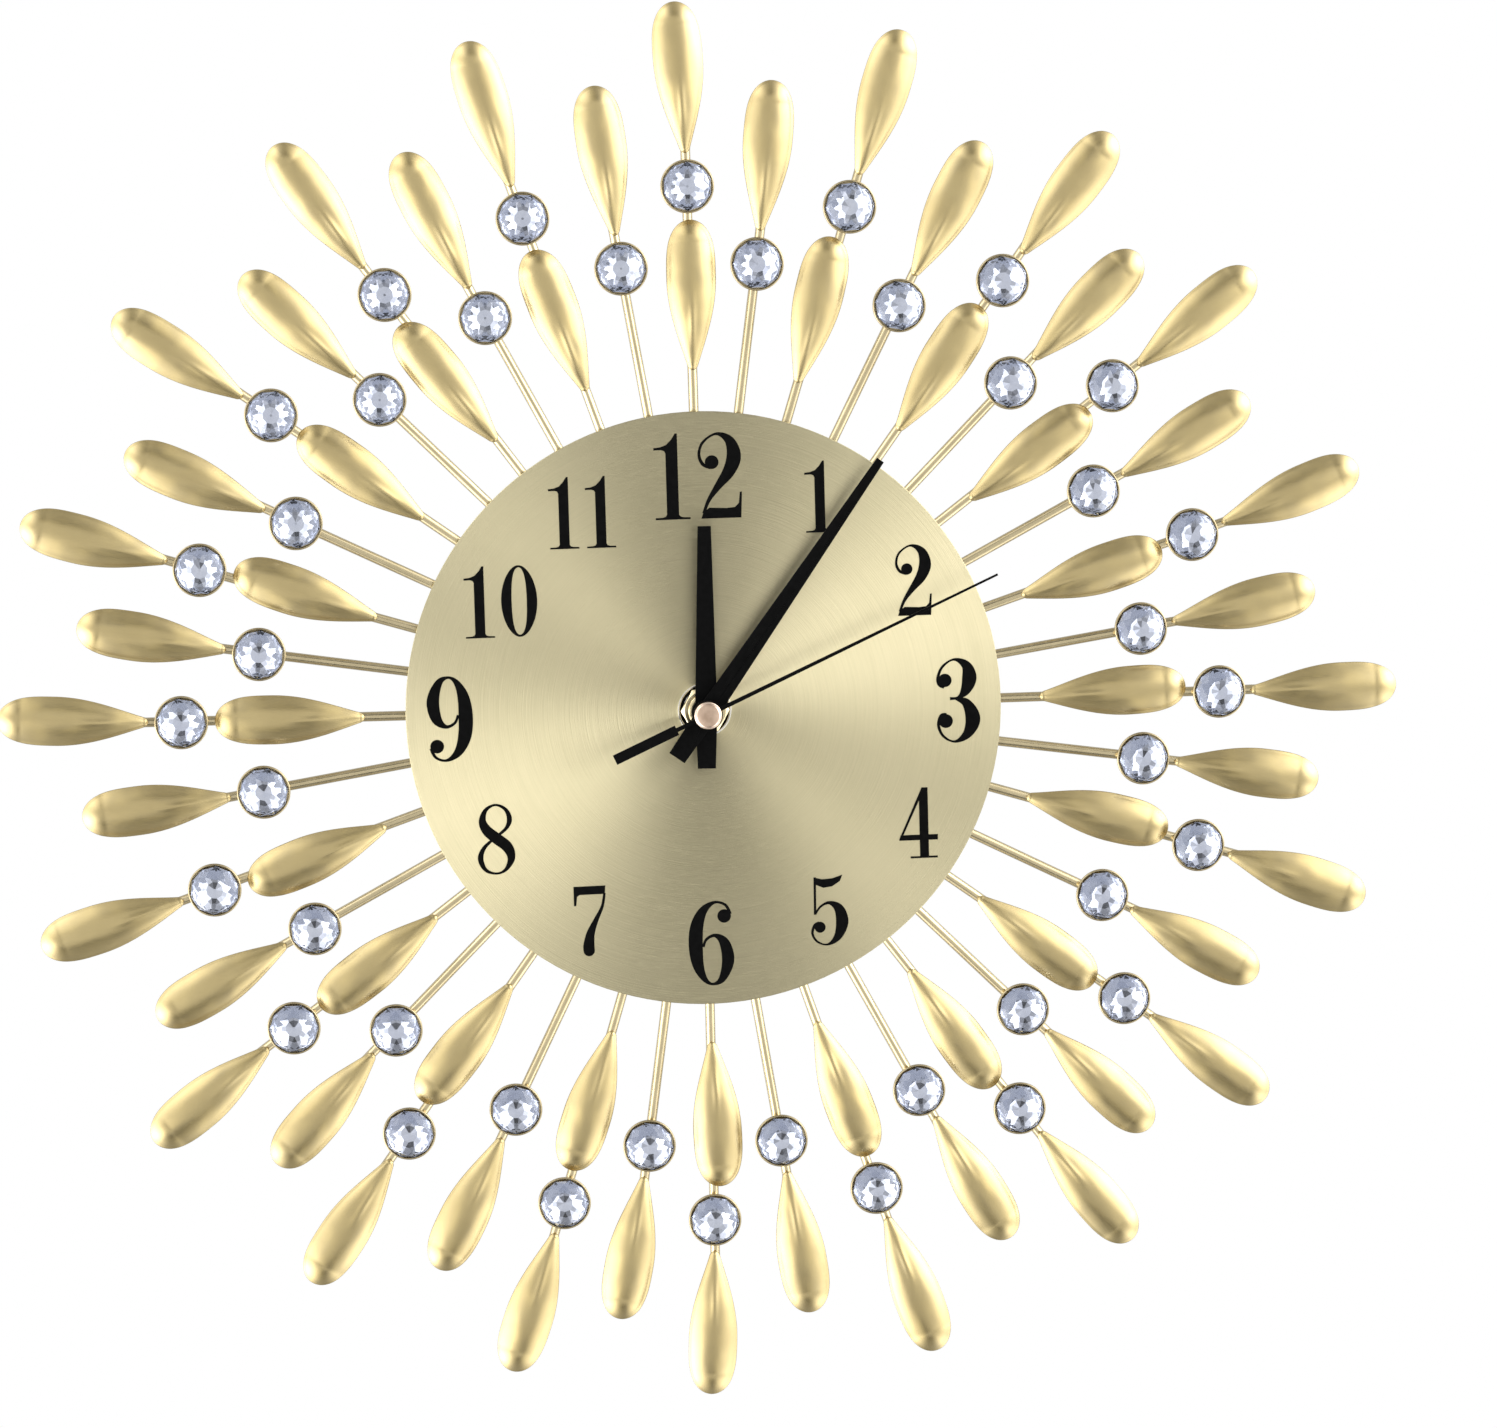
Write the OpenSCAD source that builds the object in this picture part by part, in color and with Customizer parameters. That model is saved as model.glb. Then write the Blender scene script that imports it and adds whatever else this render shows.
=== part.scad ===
// Sunburst wall clock: a brushed dial on a steel hub, welded rays that carry
// stamped petals and set stones, and a battery quartz movement with three hands.
//
// The wall is the plane Y = 0, the clock faces -Y and +Z points up through
// 12 o'clock. The origin is where the axis of the hands meets the wall.
// Every module draws its piece lying flat, with x to the right, y up the dial
// and z out from the wall. upright() then stands the piece against the wall.
// A height is a distance out from the wall.

/* [Dial] */
// Diameter of the dial plate
dial_d = 140; // [130:1:150]
// Thickness of the dial's aluminium sheet
dial_t = 0.8; // [0.5:0.1:1.5]
// Thickness of the fibreboard disc behind the dial
backing_t = 2; // [1:0.5:3]
// Diameter of the steel hub that the rods are welded to
hub_d = 124; // [100:1:126]
// Thickness of the steel hub
hub_t = 1.2; // [0.8:0.1:2]

/* [Rays] */
// Number of long rays, with as many short rays between them
long_rays = 20; // [12:1:20]
// Diameter of a rod
rod_d = 2.3; // [1.8:0.1:2.6]
// Distance from the axis to a long ray's stone
long_stone_r = 122.2; // [120:0.2:126]
// Distance from the axis to a short ray's stone
short_stone_r = 104.9; // [102:0.1:108]
// How far a hand-welded rod may lean from its true direction, in degrees
rod_lean = 0.6; // [0:0.1:1]
// How far a hand-welded petal may twist from its rod, in degrees
petal_twist = 3; // [0:0.5:4]

/* [Petals and stones] */
// Length of a petal
petal_l = 35; // [30:0.5:36]
// Width of a petal
petal_w = 11.6; // [9:0.2:13]
// How far the middle of a petal bulges forward
petal_rise = 2.6; // [1.5:0.1:3.5]
// Thickness of the petals' steel sheet
petal_t = 0.8; // [0.6:0.1:1]
// Diameter of a stone
stone_d = 11.4; // [10:0.1:12]
// Height of a stone above its girdle
stone_rise = 2.6; // [2:0.1:3.5]
// Number of facets round a stone
stone_facets = 10; // [8:1:12]

/* [Hands] */
// Length of the hour hand from its axis
hour_hand_l = 43.6; // [35:0.1:50]
// Length of the minute hand from its axis
minute_hand_l = 71.5; // [60:0.5:75]
// Length of the second hand from its axis
second_hand_l = 75; // [60:0.5:85]
// Direction of the hour hand, in degrees past 12
hour_angle = 1; // [0:1:359]
// Direction of the minute hand, in degrees past 12
minute_angle = 36; // [0:1:359]
// Direction of the second hand, in degrees past 12
second_angle = 66; // [0:1:359]

/* [Movement] */
// Width and height of the movement's case
case_w = 56; // [56:1:60]
// Depth of the movement's case
case_d = 16; // [16:0.5:18]
// Radius of the hanging hole
hanger_hole_r = 4; // [3:0.5:4.5]

/* [Hidden] */
$fn = 48;

// How far a welded piece sinks into the steel that it is welded to
weld = 0.2;
// Radial clearance of a shaft that turns in a bore
run_gap = 0.08;
// Radial clearance of a piece pushed onto a shaft
push_gap = 0.02;
// Extra length that lets a cutting shape pass right through
past = 1;

// Layers from the wall to the hands
hanger_t = 0.8;
rubber_t = 1;
hub_z = case_d + hanger_t + rubber_t;
rod_z = hub_z + hub_t + rod_d / 2 - weld;
rod_front = rod_z + rod_d / 2;
dial_z = rod_front + backing_t;
dial_front = dial_z + dial_t;
brass_washer_t = 0.6;
nut_t = 2;
bush_top = dial_front + brass_washer_t + nut_t + 0.9;
hour_hand_z = dial_front + 5.7;
minute_hand_z = hour_hand_z + 3;
second_hand_z = minute_hand_z + 2.6;
hand_t = 0.4;

// Rays
step_angle = 360 / long_rays;
rod_start = 40;
petal_reach = 42.7;
long_tip_r = long_stone_r + petal_reach;
short_tip_r = short_stone_r + petal_reach;
inner_petal_r = long_stone_r - 7.7 - petal_l;
rod_stop_short = 5;
// Turning by this much each time never repeats, so the lean looks irregular
golden_turn = 137.5;
widest_at = 0.62;
petal_stations = 12;
petal_end_half_w = 0.95;
crest_r = 6.6;
cup_wall = 0.5;
cup_floor = 0.8;
cup_h = 2.1;
girdle_h = 0.9;

// The bore through the middle of the clock
bush_r = 4;
bush_hole_r = bush_r + 0.1;
bush_bore_r = 2.58;
thread_pitch = 0.75;
thread_depth = 0.35;

// Shafts on the hands' axis, each turning inside the next
seconds_r = 0.5;
minute_r = 1.6;
hour_r = bush_bore_r - run_gap;
arbor_r = 0.5;
motion_arbor_r = 0.75;

// Movement case
wall = 1.5;
cover_t = 1.5;
case_front = case_d - wall;
case_in = case_w / 2 - wall;
battery_d = 14.3;
battery_l = 49.2;
battery_y = -case_in + 0.3 + battery_d / 2;
battery_z = battery_d / 2 + 0.45;
divider_y = battery_y + battery_d / 2 + 0.35;
divider_t = 1.2;
contact_t = 0.3;
board_t = 0.8;
board_z = 3.4;
board_low_y = 15;
board_half_w = 24;
bridge_z = 1.9;
bridge_t = 0.8;
knob_r = 5;
knob_z = 0.3;
knob_t = 1.2;
knob_face_t = 0.2;
well_r = knob_r + 0.6;
well_floor_z = 2;
well_floor_t = 0.6;

// Gear trains: teeth, tooth modules and centre distances
rotor_teeth = 12;
intermediate_teeth = 60;
intermediate_leaves = 10;
seconds_teeth = 60;
seconds_leaves = 8;
third_teeth = 60;
third_leaves = 8;
centre_teeth = 64;
cannon_leaves = 12;
motion_teeth = 36;
motion_leaves = 10;
hour_teeth = 40;
rotor_gap = 7.2;
intermediate_gap = 10.5;
third_gap = 10.5;
motion_gap = 11.5;
rotor_mod = 2 * rotor_gap / (rotor_teeth + intermediate_teeth);
seconds_mod = 2 * intermediate_gap / (intermediate_leaves + seconds_teeth);
third_mod = 2 * third_gap / (seconds_leaves + third_teeth);
centre_mod = 2 * third_gap / (third_leaves + centre_teeth);
cannon_mod = 2 * motion_gap / (cannon_leaves + motion_teeth);
hour_mod = 2 * motion_gap / (motion_leaves + hour_teeth);

// Directions from one arbor to the next, and where the arbors stand
to_third = 90;
to_intermediate = 180;
to_rotor = 135;
to_motion = 0;
third_at = polar(third_gap, to_third);
intermediate_at = polar(intermediate_gap, to_intermediate);
rotor_at = intermediate_at + polar(rotor_gap, to_rotor);
motion_at = polar(motion_gap, to_motion);
posts_at = [[-20.5, -6], [12.5, 12.5]];
post_r = 1.5;
post_pin_r = 0.7;

// Heights of the wheels inside the case, from the back forward
wheel_t = 0.8;
rotor_leaf_z = 3.2;
intermediate_z = 3.6;
seconds_wheel_z = 5.4;
magnet_z = 5.6;
magnet_t = 2.4;
stator_z = 6.4;
intermediate_leaf_top = 6.6;
third_wheel_z = 7.6;
seconds_leaf_top = 8.7;
pipe_low_z = 8.95;
centre_wheel_z = 9.6;
third_leaf_top = 10.8;
cannon_leaf_z = 11;
motion_wheel_z = 11.2;
hour_wheel_z = 12.8;
motion_leaf_top = 13.7;
arbor_low = bridge_z + 0.1;
arbor_top = case_front + 0.5;
blind_depth = 0.7;

// Coil and its steel core
coil_y = 21.5;
coil_left = -22;
coil_right = -10.5;
coil_r = 2.7;
flange_r = 3.3;
flange_t = 0.8;
core_z = stator_z + wheel_t;
core_t = 1;
core_w = 2.4;
leg_w = 2.4;
leg_off = leg_w / 2 + 0.2;

/* Shapes used by more than one piece */

function polar(r, angle) = [r * cos(angle), r * sin(angle)];

// Lean of ray i, and twist of petal i of a ring
function lean(i) = rod_lean * sin(golden_turn * i + 20);
function twist(i) = petal_twist * sin(golden_turn * i * 2 + 70);

module upright() rotate([90, 0, 0]) children();

// Copies a piece to every long ray, with y pointing outward
module on_long_rays()
    for (i = [0 : long_rays - 1])
        rotate(-step_angle * i + lean(i))
            children();

// Copies a piece to every short ray
module on_short_rays()
    for (i = [0 : long_rays - 1])
        rotate(-step_angle * (i + 0.5) + lean(i + 0.5))
            children();

module disc(d, h, hole_r = bush_hole_r)
    difference() {
        cylinder(d = d, h = h, $fn = 128);
        translate([0, 0, -past])
            cylinder(r = hole_r, h = h + 2 * past);
    }

module tube(outer_r, inner_r, h)
    difference() {
        cylinder(r = outer_r, h = h);
        translate([0, 0, -past])
            cylinder(r = inner_r, h = h + 2 * past);
    }

// A flat bar of width w from point a to point b
module link(a, b, w, h) {
    span = b - a;
    translate(a)
        rotate(atan2(span.y, span.x))
            translate([0, -w / 2, 0])
                cube([norm(span), w, h]);
}

// The same bar with round ends
module bar(a, b, w, h) {
    link(a, b, w, h);
    for (end = [a, b])
        translate(end)
            cylinder(d = w, h = h);
}

// Outline of a gear: each tooth narrows from its root to its flat tip
function gear_outline(teeth, mod) =
    let (
        pitch_r = mod * teeth / 2,
        step = 360 / teeth,
        half_tooth = [[-1.1, 0.28], [0, 0.21], [0.75, 0.1]]
    )
    [
        for (i = [0 : teeth - 1])
            each concat(
                [for (k = [0 : 2])
                    polar(pitch_r + mod * half_tooth[k][0], step * (i - half_tooth[k][1]))],
                [for (k = [2 : -1 : 0])
                    polar(pitch_r + mod * half_tooth[k][0], step * (i + half_tooth[k][1]))]
            )
    ];

// A gear with a tooth pointing along the given direction
module gear(teeth, mod, h, tooth_at)
    rotate(tooth_at)
        linear_extrude(h)
            polygon(gear_outline(teeth, mod));

// A gear whose tooth gap faces back along the given direction
module driven_gear(teeth, mod, h, from)
    gear(teeth, mod, h, from + 180 + 180 / teeth);

/* Dial and hub */

module dial_plate()
    color("#d8c896") upright()
        translate([0, 0, dial_z])
            disc(dial_d, dial_t);

module dial_backing()
    color("#7a6a50") upright()
        translate([0, 0, rod_front])
            disc(dial_d - 8, backing_t);

module hub_plate()
    color("#c9b070") upright()
        translate([0, 0, hub_z])
            disc(hub_d, hub_t);

/* Rays */

// A rod along y from the hub to the given distance
module rod(end_r)
    translate([0, rod_start, rod_z])
        rotate([-90, 0, 0])
            cylinder(d = rod_d, h = end_r - rod_start);

module long_rods()
    color("#d6bf7e") upright()
        on_long_rays()
            rod(long_tip_r - rod_stop_short);

module short_rods()
    color("#d6bf7e") upright()
        on_short_rays()
            rod(short_tip_r - rod_stop_short);

// Half the width of a petal at s, which runs from 0 at its point to 1 at its round end
function petal_half_w(s) =
    s < widest_at
        ? petal_end_half_w + (petal_w / 2 - petal_end_half_w) * pow(sin(90 * s / widest_at), 1.1)
        : petal_w / 2 * sqrt(max(0, 1 - pow((s - widest_at) / (1 - widest_at), 3.2)));

// Radius of a petal's cross-section, which grows towards its middle
function petal_crest_r(s) = crest_r + petal_rise * sin(180 * s);

// Positions along a petal, closer together at its round end
function station(k) = sin(90 * k / petal_stations);

module petal_outline()
    polygon(concat(
        [for (k = [0 : petal_stations])
            [petal_half_w(station(k)), petal_l * station(k)]],
        [for (k = [petal_stations - 1 : -1 : 0])
            [-petal_half_w(station(k)), petal_l * station(k)]]
    ));

// The body swept by the petal's cross-section, thinned by inset
module petal_dome(inset)
    rotate([-90, 0, 0])
        rotate_extrude($fn = 64)
            polygon(concat(
                [[0, -inset], [petal_crest_r(0) - inset, -inset]],
                [for (k = [1 : petal_stations - 1])
                    [petal_crest_r(k / petal_stations) - inset, petal_l * k / petal_stations]],
                [[petal_crest_r(1) - inset, petal_l + inset], [0, petal_l + inset]]
            ));

// A petal of curved sheet that points towards the axis
module petal()
    translate([0, 0, petal_t - weld - crest_r])
        intersection() {
            linear_extrude(crest_r + petal_rise + past)
                petal_outline();
            difference() {
                petal_dome(0);
                petal_dome(petal_t);
            }
        }

module petal_on_rod(start_r, i)
    translate([0, start_r, rod_front])
        rotate(twist(i))
            petal();

module outer_petals()
    color("#c8b06a") upright()
        for (i = [0 : long_rays - 1])
            rotate(-step_angle * i + lean(i))
                petal_on_rod(long_tip_r - petal_l, i);

module inner_petals()
    color("#c8b06a") upright()
        for (i = [0 : long_rays - 1])
            rotate(-step_angle * i + lean(i))
                petal_on_rod(inner_petal_r, i + 7);

module short_petals()
    color("#c8b06a") upright()
        for (i = [0 : long_rays - 1])
            rotate(-step_angle * (i + 0.5) + lean(i + 0.5))
                petal_on_rod(short_tip_r - petal_l, i + 13);

/* Stones in their cups */

module cup() {
    top_r = stone_d / 2 + cup_wall + 0.05;
    floor_r = top_r - 1.2;
    translate([0, 0, rod_front - weld])
        rotate_extrude($fn = 64)
            polygon([
                [0, 0], [floor_r, 0], [top_r, cup_h * 0.6], [top_r, cup_h],
                [top_r - cup_wall, cup_h], [top_r - cup_wall, cup_floor],
                [0, cup_floor]
            ]);
}

module long_cups()
    color("#b89b58") upright()
        on_long_rays()
            translate([0, long_stone_r, 0])
                cup();

module short_cups()
    color("#b89b58") upright()
        on_short_rays()
            translate([0, short_stone_r, 0])
                cup();

function ring(r, z, turn) =
    [for (i = [0 : stone_facets - 1])
        concat(polar(r, 360 / stone_facets * i + turn), z)];

// A flat-backed stone: a straight girdle, two rows of facets and a table
module stone() {
    n = stone_facets;
    r = stone_d / 2;
    half_turn = 180 / n;
    points = concat(
        ring(r, 0, 0),
        ring(r, girdle_h, 0),
        ring(r * 0.78, girdle_h + stone_rise * 0.62, half_turn),
        ring(r * 0.4, girdle_h + stone_rise, 0)
    );
    faces = concat(
        [[for (i = [0 : n - 1]) i]],
        [for (i = [0 : n - 1]) [i, n + i, n + (i + 1) % n, (i + 1) % n]],
        [for (i = [0 : n - 1]) [n + i, 2 * n + i, n + (i + 1) % n]],
        [for (i = [0 : n - 1]) [2 * n + i, 2 * n + (i + 1) % n, n + (i + 1) % n]],
        [for (i = [0 : n - 1]) [2 * n + i, 3 * n + (i + 1) % n, 2 * n + (i + 1) % n]],
        [for (i = [0 : n - 1]) [3 * n + i, 3 * n + (i + 1) % n, 2 * n + i]],
        [[for (i = [n - 1 : -1 : 0]) 3 * n + i]]
    );
    translate([0, 0, rod_front - weld + cup_floor])
        polyhedron(points, faces);
}

module long_stones()
    color("#dfe6f2") upright()
        on_long_rays()
            translate([0, long_stone_r, 0])
                stone();

module short_stones()
    color("#dfe6f2") upright()
        on_short_rays()
            translate([0, short_stone_r, 0])
                stone();

/* What holds the clock together and on the wall */

// A steel strap clamped on the bush, bent back to the wall above the case
module hanger() {
    strap_w = 16;
    strap_low = -8;
    web_y = case_w / 2 + 2;
    tab_top = web_y + 15;
    tab_z = 0.4;
    hole_y = web_y + 7;
    slot_w = 3.4;
    slot_l = 4.6;
    color("#b9b9b4") upright()
        difference() {
            union() {
                translate([-strap_w / 2, strap_low, case_d])
                    cube([strap_w, web_y - strap_low, hanger_t]);
                translate([-strap_w / 2, web_y - hanger_t, tab_z])
                    cube([strap_w, hanger_t, case_d + hanger_t - tab_z]);
                translate([-strap_w / 2, web_y - hanger_t, tab_z])
                    cube([strap_w, tab_top - strap_w / 2 - web_y + hanger_t, hanger_t]);
                translate([0, tab_top - strap_w / 2, tab_z])
                    cylinder(d = strap_w, h = hanger_t);
            }
            translate([0, 0, case_d - past])
                cylinder(r = bush_hole_r, h = hanger_t + 2 * past);
            translate([0, hole_y, tab_z - past])
                cylinder(r = hanger_hole_r, h = hanger_t + 2 * past);
            translate([0, hole_y + slot_l, tab_z - past])
                cylinder(d = slot_w, h = hanger_t + 2 * past);
            translate([-slot_w / 2, hole_y, tab_z - past])
                cube([slot_w, slot_l, hanger_t + 2 * past]);
        }
}

module rubber_washer()
    color("#2b2b2b") upright()
        translate([0, 0, case_d + hanger_t])
            disc(22, rubber_t);

module brass_washer()
    color("#d9c27a") upright()
        translate([0, 0, dial_front])
            disc(12.7, brass_washer_t);

module hex_nut() {
    across_flats = 10;
    across_corners = across_flats / cos(30);
    chamfer = 0.5;
    color("#cdb469") upright()
        translate([0, 0, dial_front + brass_washer_t])
            difference() {
                intersection() {
                    cylinder(d = across_corners, h = nut_t, $fn = 6);
                    rotate_extrude()
                        polygon([
                            [0, 0], [across_corners / 2, 0],
                            [across_corners / 2, nut_t - chamfer],
                            [across_flats / 2 - 0.1, nut_t], [0, nut_t]
                        ]);
                }
                translate([0, 0, -past])
                    cylinder(r = bush_r + push_gap, h = nut_t + 2 * past);
            }
}

// A brass bush with a flange inside the case and a thread in front of it
module threaded_bush() {
    flange_h = 0.6;
    flange_outer_r = 5.6;
    plain_top = dial_front;
    turns = floor((bush_top - plain_top) / thread_pitch);
    thread = [
        for (k = [0 : turns - 1])
            each [
                [bush_r, plain_top + thread_pitch * k],
                [bush_r - thread_depth, plain_top + thread_pitch * (k + 0.5)]
            ]
    ];
    color("#c9a85a") upright()
        rotate_extrude()
            polygon(concat(
                [
                    [bush_bore_r, case_front - flange_h],
                    [flange_outer_r, case_front - flange_h],
                    [flange_outer_r, case_front],
                    [bush_r, case_front]
                ],
                thread,
                [[bush_r - thread_depth, bush_top], [bush_bore_r, bush_top]]
            ));
}

/* Movement case */

module arbor_hole(at, r, low, high)
    translate([at.x, at.y, low])
        cylinder(r = r, h = high - low);

module front_case() {
    color("#3a3a3c") upright()
        difference() {
            union() {
                difference() {
                    translate([-case_w / 2, -case_w / 2, cover_t])
                        cube([case_w, case_w, case_d - cover_t]);
                    translate([-case_in, -case_in, cover_t - past])
                        cube([2 * case_in, 2 * case_in, case_front - cover_t + past]);
                }
                translate([-case_in + 1, divider_y, cover_t])
                    cube([2 * case_in - 2, divider_t, case_front - cover_t]);
                for (at = posts_at) {
                    arbor_hole(at, post_r, bridge_z + bridge_t, case_front);
                    arbor_hole(at, post_pin_r, bridge_z, case_front);
                }
            }
            translate([-case_in, -case_in, case_front - past])
                cube([2 * case_in, divider_y + case_in, past + 0.6]);
            arbor_hole([0, 0], bush_r + push_gap, case_front - past, case_d + past);
            for (at = [third_at, intermediate_at, rotor_at])
                arbor_hole(at, arbor_r + run_gap, case_front - past, case_front + blind_depth);
            arbor_hole(motion_at, motion_arbor_r + run_gap, case_front - past,
                       case_front + blind_depth);
        }
}

module rear_cover() {
    hook_t = 1;
    hook_w = 4;
    hook_h = 4.5;
    window_half_w = battery_l / 2 + 1;
    window_h = battery_d + 0.4;
    color("#444446") upright()
        difference() {
            union() {
                translate([-case_w / 2, -case_w / 2, 0])
                    cube([case_w, case_w, cover_t]);
                translate([motion_at.x, motion_at.y, 0])
                    cylinder(r = well_r + 1, h = well_floor_z + well_floor_t);
                for (side = [-1, 1]) {
                    translate([side * 18 - hook_w / 2, case_in - hook_t - 0.1, 0])
                        cube([hook_w, hook_t, cover_t + hook_h]);
                    translate([side * 20 - hook_w / 2, divider_y + divider_t + 0.1, 0])
                        cube([hook_w, hook_t, cover_t + hook_h]);
                }
            }
            translate([-window_half_w, battery_y - window_h / 2, -past])
                cube([2 * window_half_w, window_h, cover_t + 2 * past]);
            arbor_hole(motion_at, well_r, -past, well_floor_z);
            arbor_hole(motion_at, motion_arbor_r + run_gap, -past, cover_t + 2 * past);
        }
}

// The plate that holds the rear ends of the arbors: a round boss at each arbor and
// post, and arms between them
module train_bridge() {
    arm_w = 2.8;
    boss_r = 2;
    arbors_at = [[0, 0], third_at, intermediate_at, rotor_at];
    color("#e8e4d8") upright()
        difference() {
            translate([0, 0, bridge_z])
                union() {
                    for (at = concat(arbors_at, posts_at))
                        translate(at)
                            cylinder(r = boss_r, h = bridge_t);
                    link(posts_at[0], intermediate_at, arm_w, bridge_t);
                    link(intermediate_at, [0, 0], arm_w, bridge_t);
                    link([0, 0], third_at, arm_w, bridge_t);
                    link(third_at, posts_at[1], arm_w, bridge_t);
                    link(intermediate_at, rotor_at, arm_w, bridge_t);
                }
            for (at = arbors_at)
                arbor_hole(at, arbor_r + run_gap, bridge_z - past, bridge_z + bridge_t + past);
            for (at = posts_at)
                arbor_hole(at, post_pin_r + push_gap, bridge_z - past, bridge_z + bridge_t + past);
        }
}

/* Electrical pieces */

module circuit_board()
    color("#2f6b3a") upright()
        translate([-board_half_w, board_low_y, board_z])
            cube([2 * board_half_w, case_in - 1.2 - board_low_y, board_t]);

module chip_cover()
    color("#161616") upright()
        translate([5, 20, board_z + board_t])
            rotate_extrude()
                polygon([[0, 0], [2.8, 0], [2.5, 0.5], [1.8, 0.9], [0.8, 1.1], [0, 1.1]]);

module timing_crystal() {
    can_r = 1;
    color("#c8ccd0") upright()
        translate([12, 20, board_z + board_t + can_r])
            rotate([0, 90, 0])
                cylinder(r = can_r, h = 6);
}

module coil_core()
    color("#8d8f92") upright()
        translate([coil_left - leg_off - leg_w / 2, coil_y - core_w / 2, core_z])
            cube([coil_right - coil_left + 2 * leg_off + leg_w, core_w, core_t]);

module coil_bobbin() {
    barrel_r = 1.9;
    clear = 0.05;
    color("#f0ece0") upright()
        difference() {
            translate([coil_left, coil_y, core_z + core_t / 2])
                rotate([0, 90, 0])
                    union() {
                        cylinder(r = barrel_r, h = coil_right - coil_left);
                        cylinder(r = flange_r, h = flange_t);
                        translate([0, 0, coil_right - coil_left - flange_t])
                            cylinder(r = flange_r, h = flange_t);
                    }
            translate([coil_left - past, coil_y - core_w / 2 - clear, core_z - clear])
                cube([coil_right - coil_left + 2 * past, core_w + 2 * clear,
                      core_t + 2 * clear]);
        }
}

module coil_winding()
    color("#b5652b") upright()
        translate([coil_left + flange_t, coil_y, core_z + core_t / 2])
            rotate([0, 90, 0])
                tube(coil_r, 1.9 + push_gap, coil_right - coil_left - 2 * flange_t);

// A steel plate with the rotor's hole, and a leg to each end of the coil's core
module stator() {
    ring_r = 4.6;
    hole_r = 3.3;
    left_end = [coil_left - leg_off, coil_y];
    right_end = [coil_right + leg_off, coil_y];
    left_knee = [left_end.x, 10];
    right_knee = [right_end.x, 11];
    color("#9a9c9f") upright()
        translate([0, 0, stator_z])
            difference() {
                union() {
                    translate(rotor_at)
                        cylinder(r = ring_r, h = wheel_t);
                    bar(rotor_at, left_knee, leg_w, wheel_t);
                    bar(left_knee, left_end, leg_w, wheel_t);
                    bar(rotor_at, right_knee, leg_w, wheel_t);
                    bar(right_knee, right_end, leg_w, wheel_t);
                }
                translate([rotor_at.x, rotor_at.y, -past])
                    cylinder(r = hole_r, h = wheel_t + 2 * past);
            }
}

// A contact at the right-hand end of the battery, with a lead up to the board
module contact(side, nub_r) {
    outer_x = case_in - 0.1;
    lead_top = board_low_y + 4;
    battery_end = battery_l / 2 + 0.8;
    mirror([side < 0 ? 1 : 0, 0, 0]) {
        translate([outer_x - contact_t, battery_y - 4, battery_z - 4.6])
            cube([contact_t, 8, 8]);
        translate([outer_x - contact_t, battery_y - 4, 3.1])
            cube([contact_t, lead_top - battery_y + 4, 2.4]);
        translate([board_half_w - 2, lead_top - 3, board_z - contact_t])
            cube([outer_x - board_half_w + 2, 3, contact_t]);
        translate([battery_end, battery_y, battery_z])
            rotate([0, 90, 0])
                cylinder(r = nub_r, h = outer_x - battery_end);
    }
}

module positive_contact()
    color("#d5d7d9") upright()
        contact(1, 1.5);

module negative_contact()
    color("#d5d7d9") upright()
        contact(-1, 2.5);

// An AA cell that lies across the bottom of the case, its cap to the right
module battery() {
    nub_l = 0.8;
    color("#2d5f8b") upright()
        translate([-(battery_l + nub_l) / 2, battery_y, battery_z])
            rotate([0, 90, 0])
                union() {
                    cylinder(d = battery_d, h = battery_l);
                    translate([0, 0, battery_l])
                        cylinder(d = 5.5, h = nub_l);
                }
}

/* Seconds train, from the rotor to the centre wheel */

module arbor(at, r, low, high)
    translate([at.x, at.y, low])
        cylinder(r = r, h = high - low);

// A wheel driven from one direction, and its pinion that drives in another
module wheel_and_pinion(at, z, teeth, mod, from, leaves, leaf_mod, leaf_top, to)
    translate([at.x, at.y, z]) {
        driven_gear(teeth, mod, wheel_t, from);
        gear(leaves, leaf_mod, leaf_top - z, to);
    }

module rotor_magnet()
    color("#4a4a4e") upright()
        translate([rotor_at.x, rotor_at.y, magnet_z])
            tube(2.6, 1.2 + push_gap, magnet_t);

module rotor_pinion() {
    collar_t = 0.4;
    leaf_t = 1.6;
    color("#f2efe6") upright() {
        arbor(rotor_at, arbor_r, arbor_low, arbor_top);
        arbor(rotor_at, 1.2, magnet_z - collar_t, magnet_z + magnet_t);
        arbor(rotor_at, 2, magnet_z - collar_t, magnet_z);
        translate([rotor_at.x, rotor_at.y, rotor_leaf_z])
            gear(rotor_teeth, rotor_mod, leaf_t, to_rotor + 180);
    }
}

module intermediate_wheel()
    color("#f2efe6") upright() {
        arbor(intermediate_at, arbor_r, arbor_low, arbor_top);
        wheel_and_pinion(intermediate_at, intermediate_z,
                         intermediate_teeth, rotor_mod, to_rotor + 180,
                         intermediate_leaves, seconds_mod, intermediate_leaf_top,
                         to_intermediate + 180);
    }

module seconds_wheel()
    color("#f2efe6") upright() {
        arbor([0, 0], seconds_r, arbor_low, second_hand_z - 0.2);
        wheel_and_pinion([0, 0], seconds_wheel_z,
                         seconds_teeth, seconds_mod, to_intermediate + 180,
                         seconds_leaves, third_mod, seconds_leaf_top, to_third);
    }

module third_wheel()
    color("#f2efe6") upright() {
        arbor(third_at, arbor_r, arbor_low, arbor_top);
        wheel_and_pinion(third_at, third_wheel_z,
                         third_teeth, third_mod, to_third,
                         third_leaves, centre_mod, third_leaf_top, to_third + 180);
    }

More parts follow.
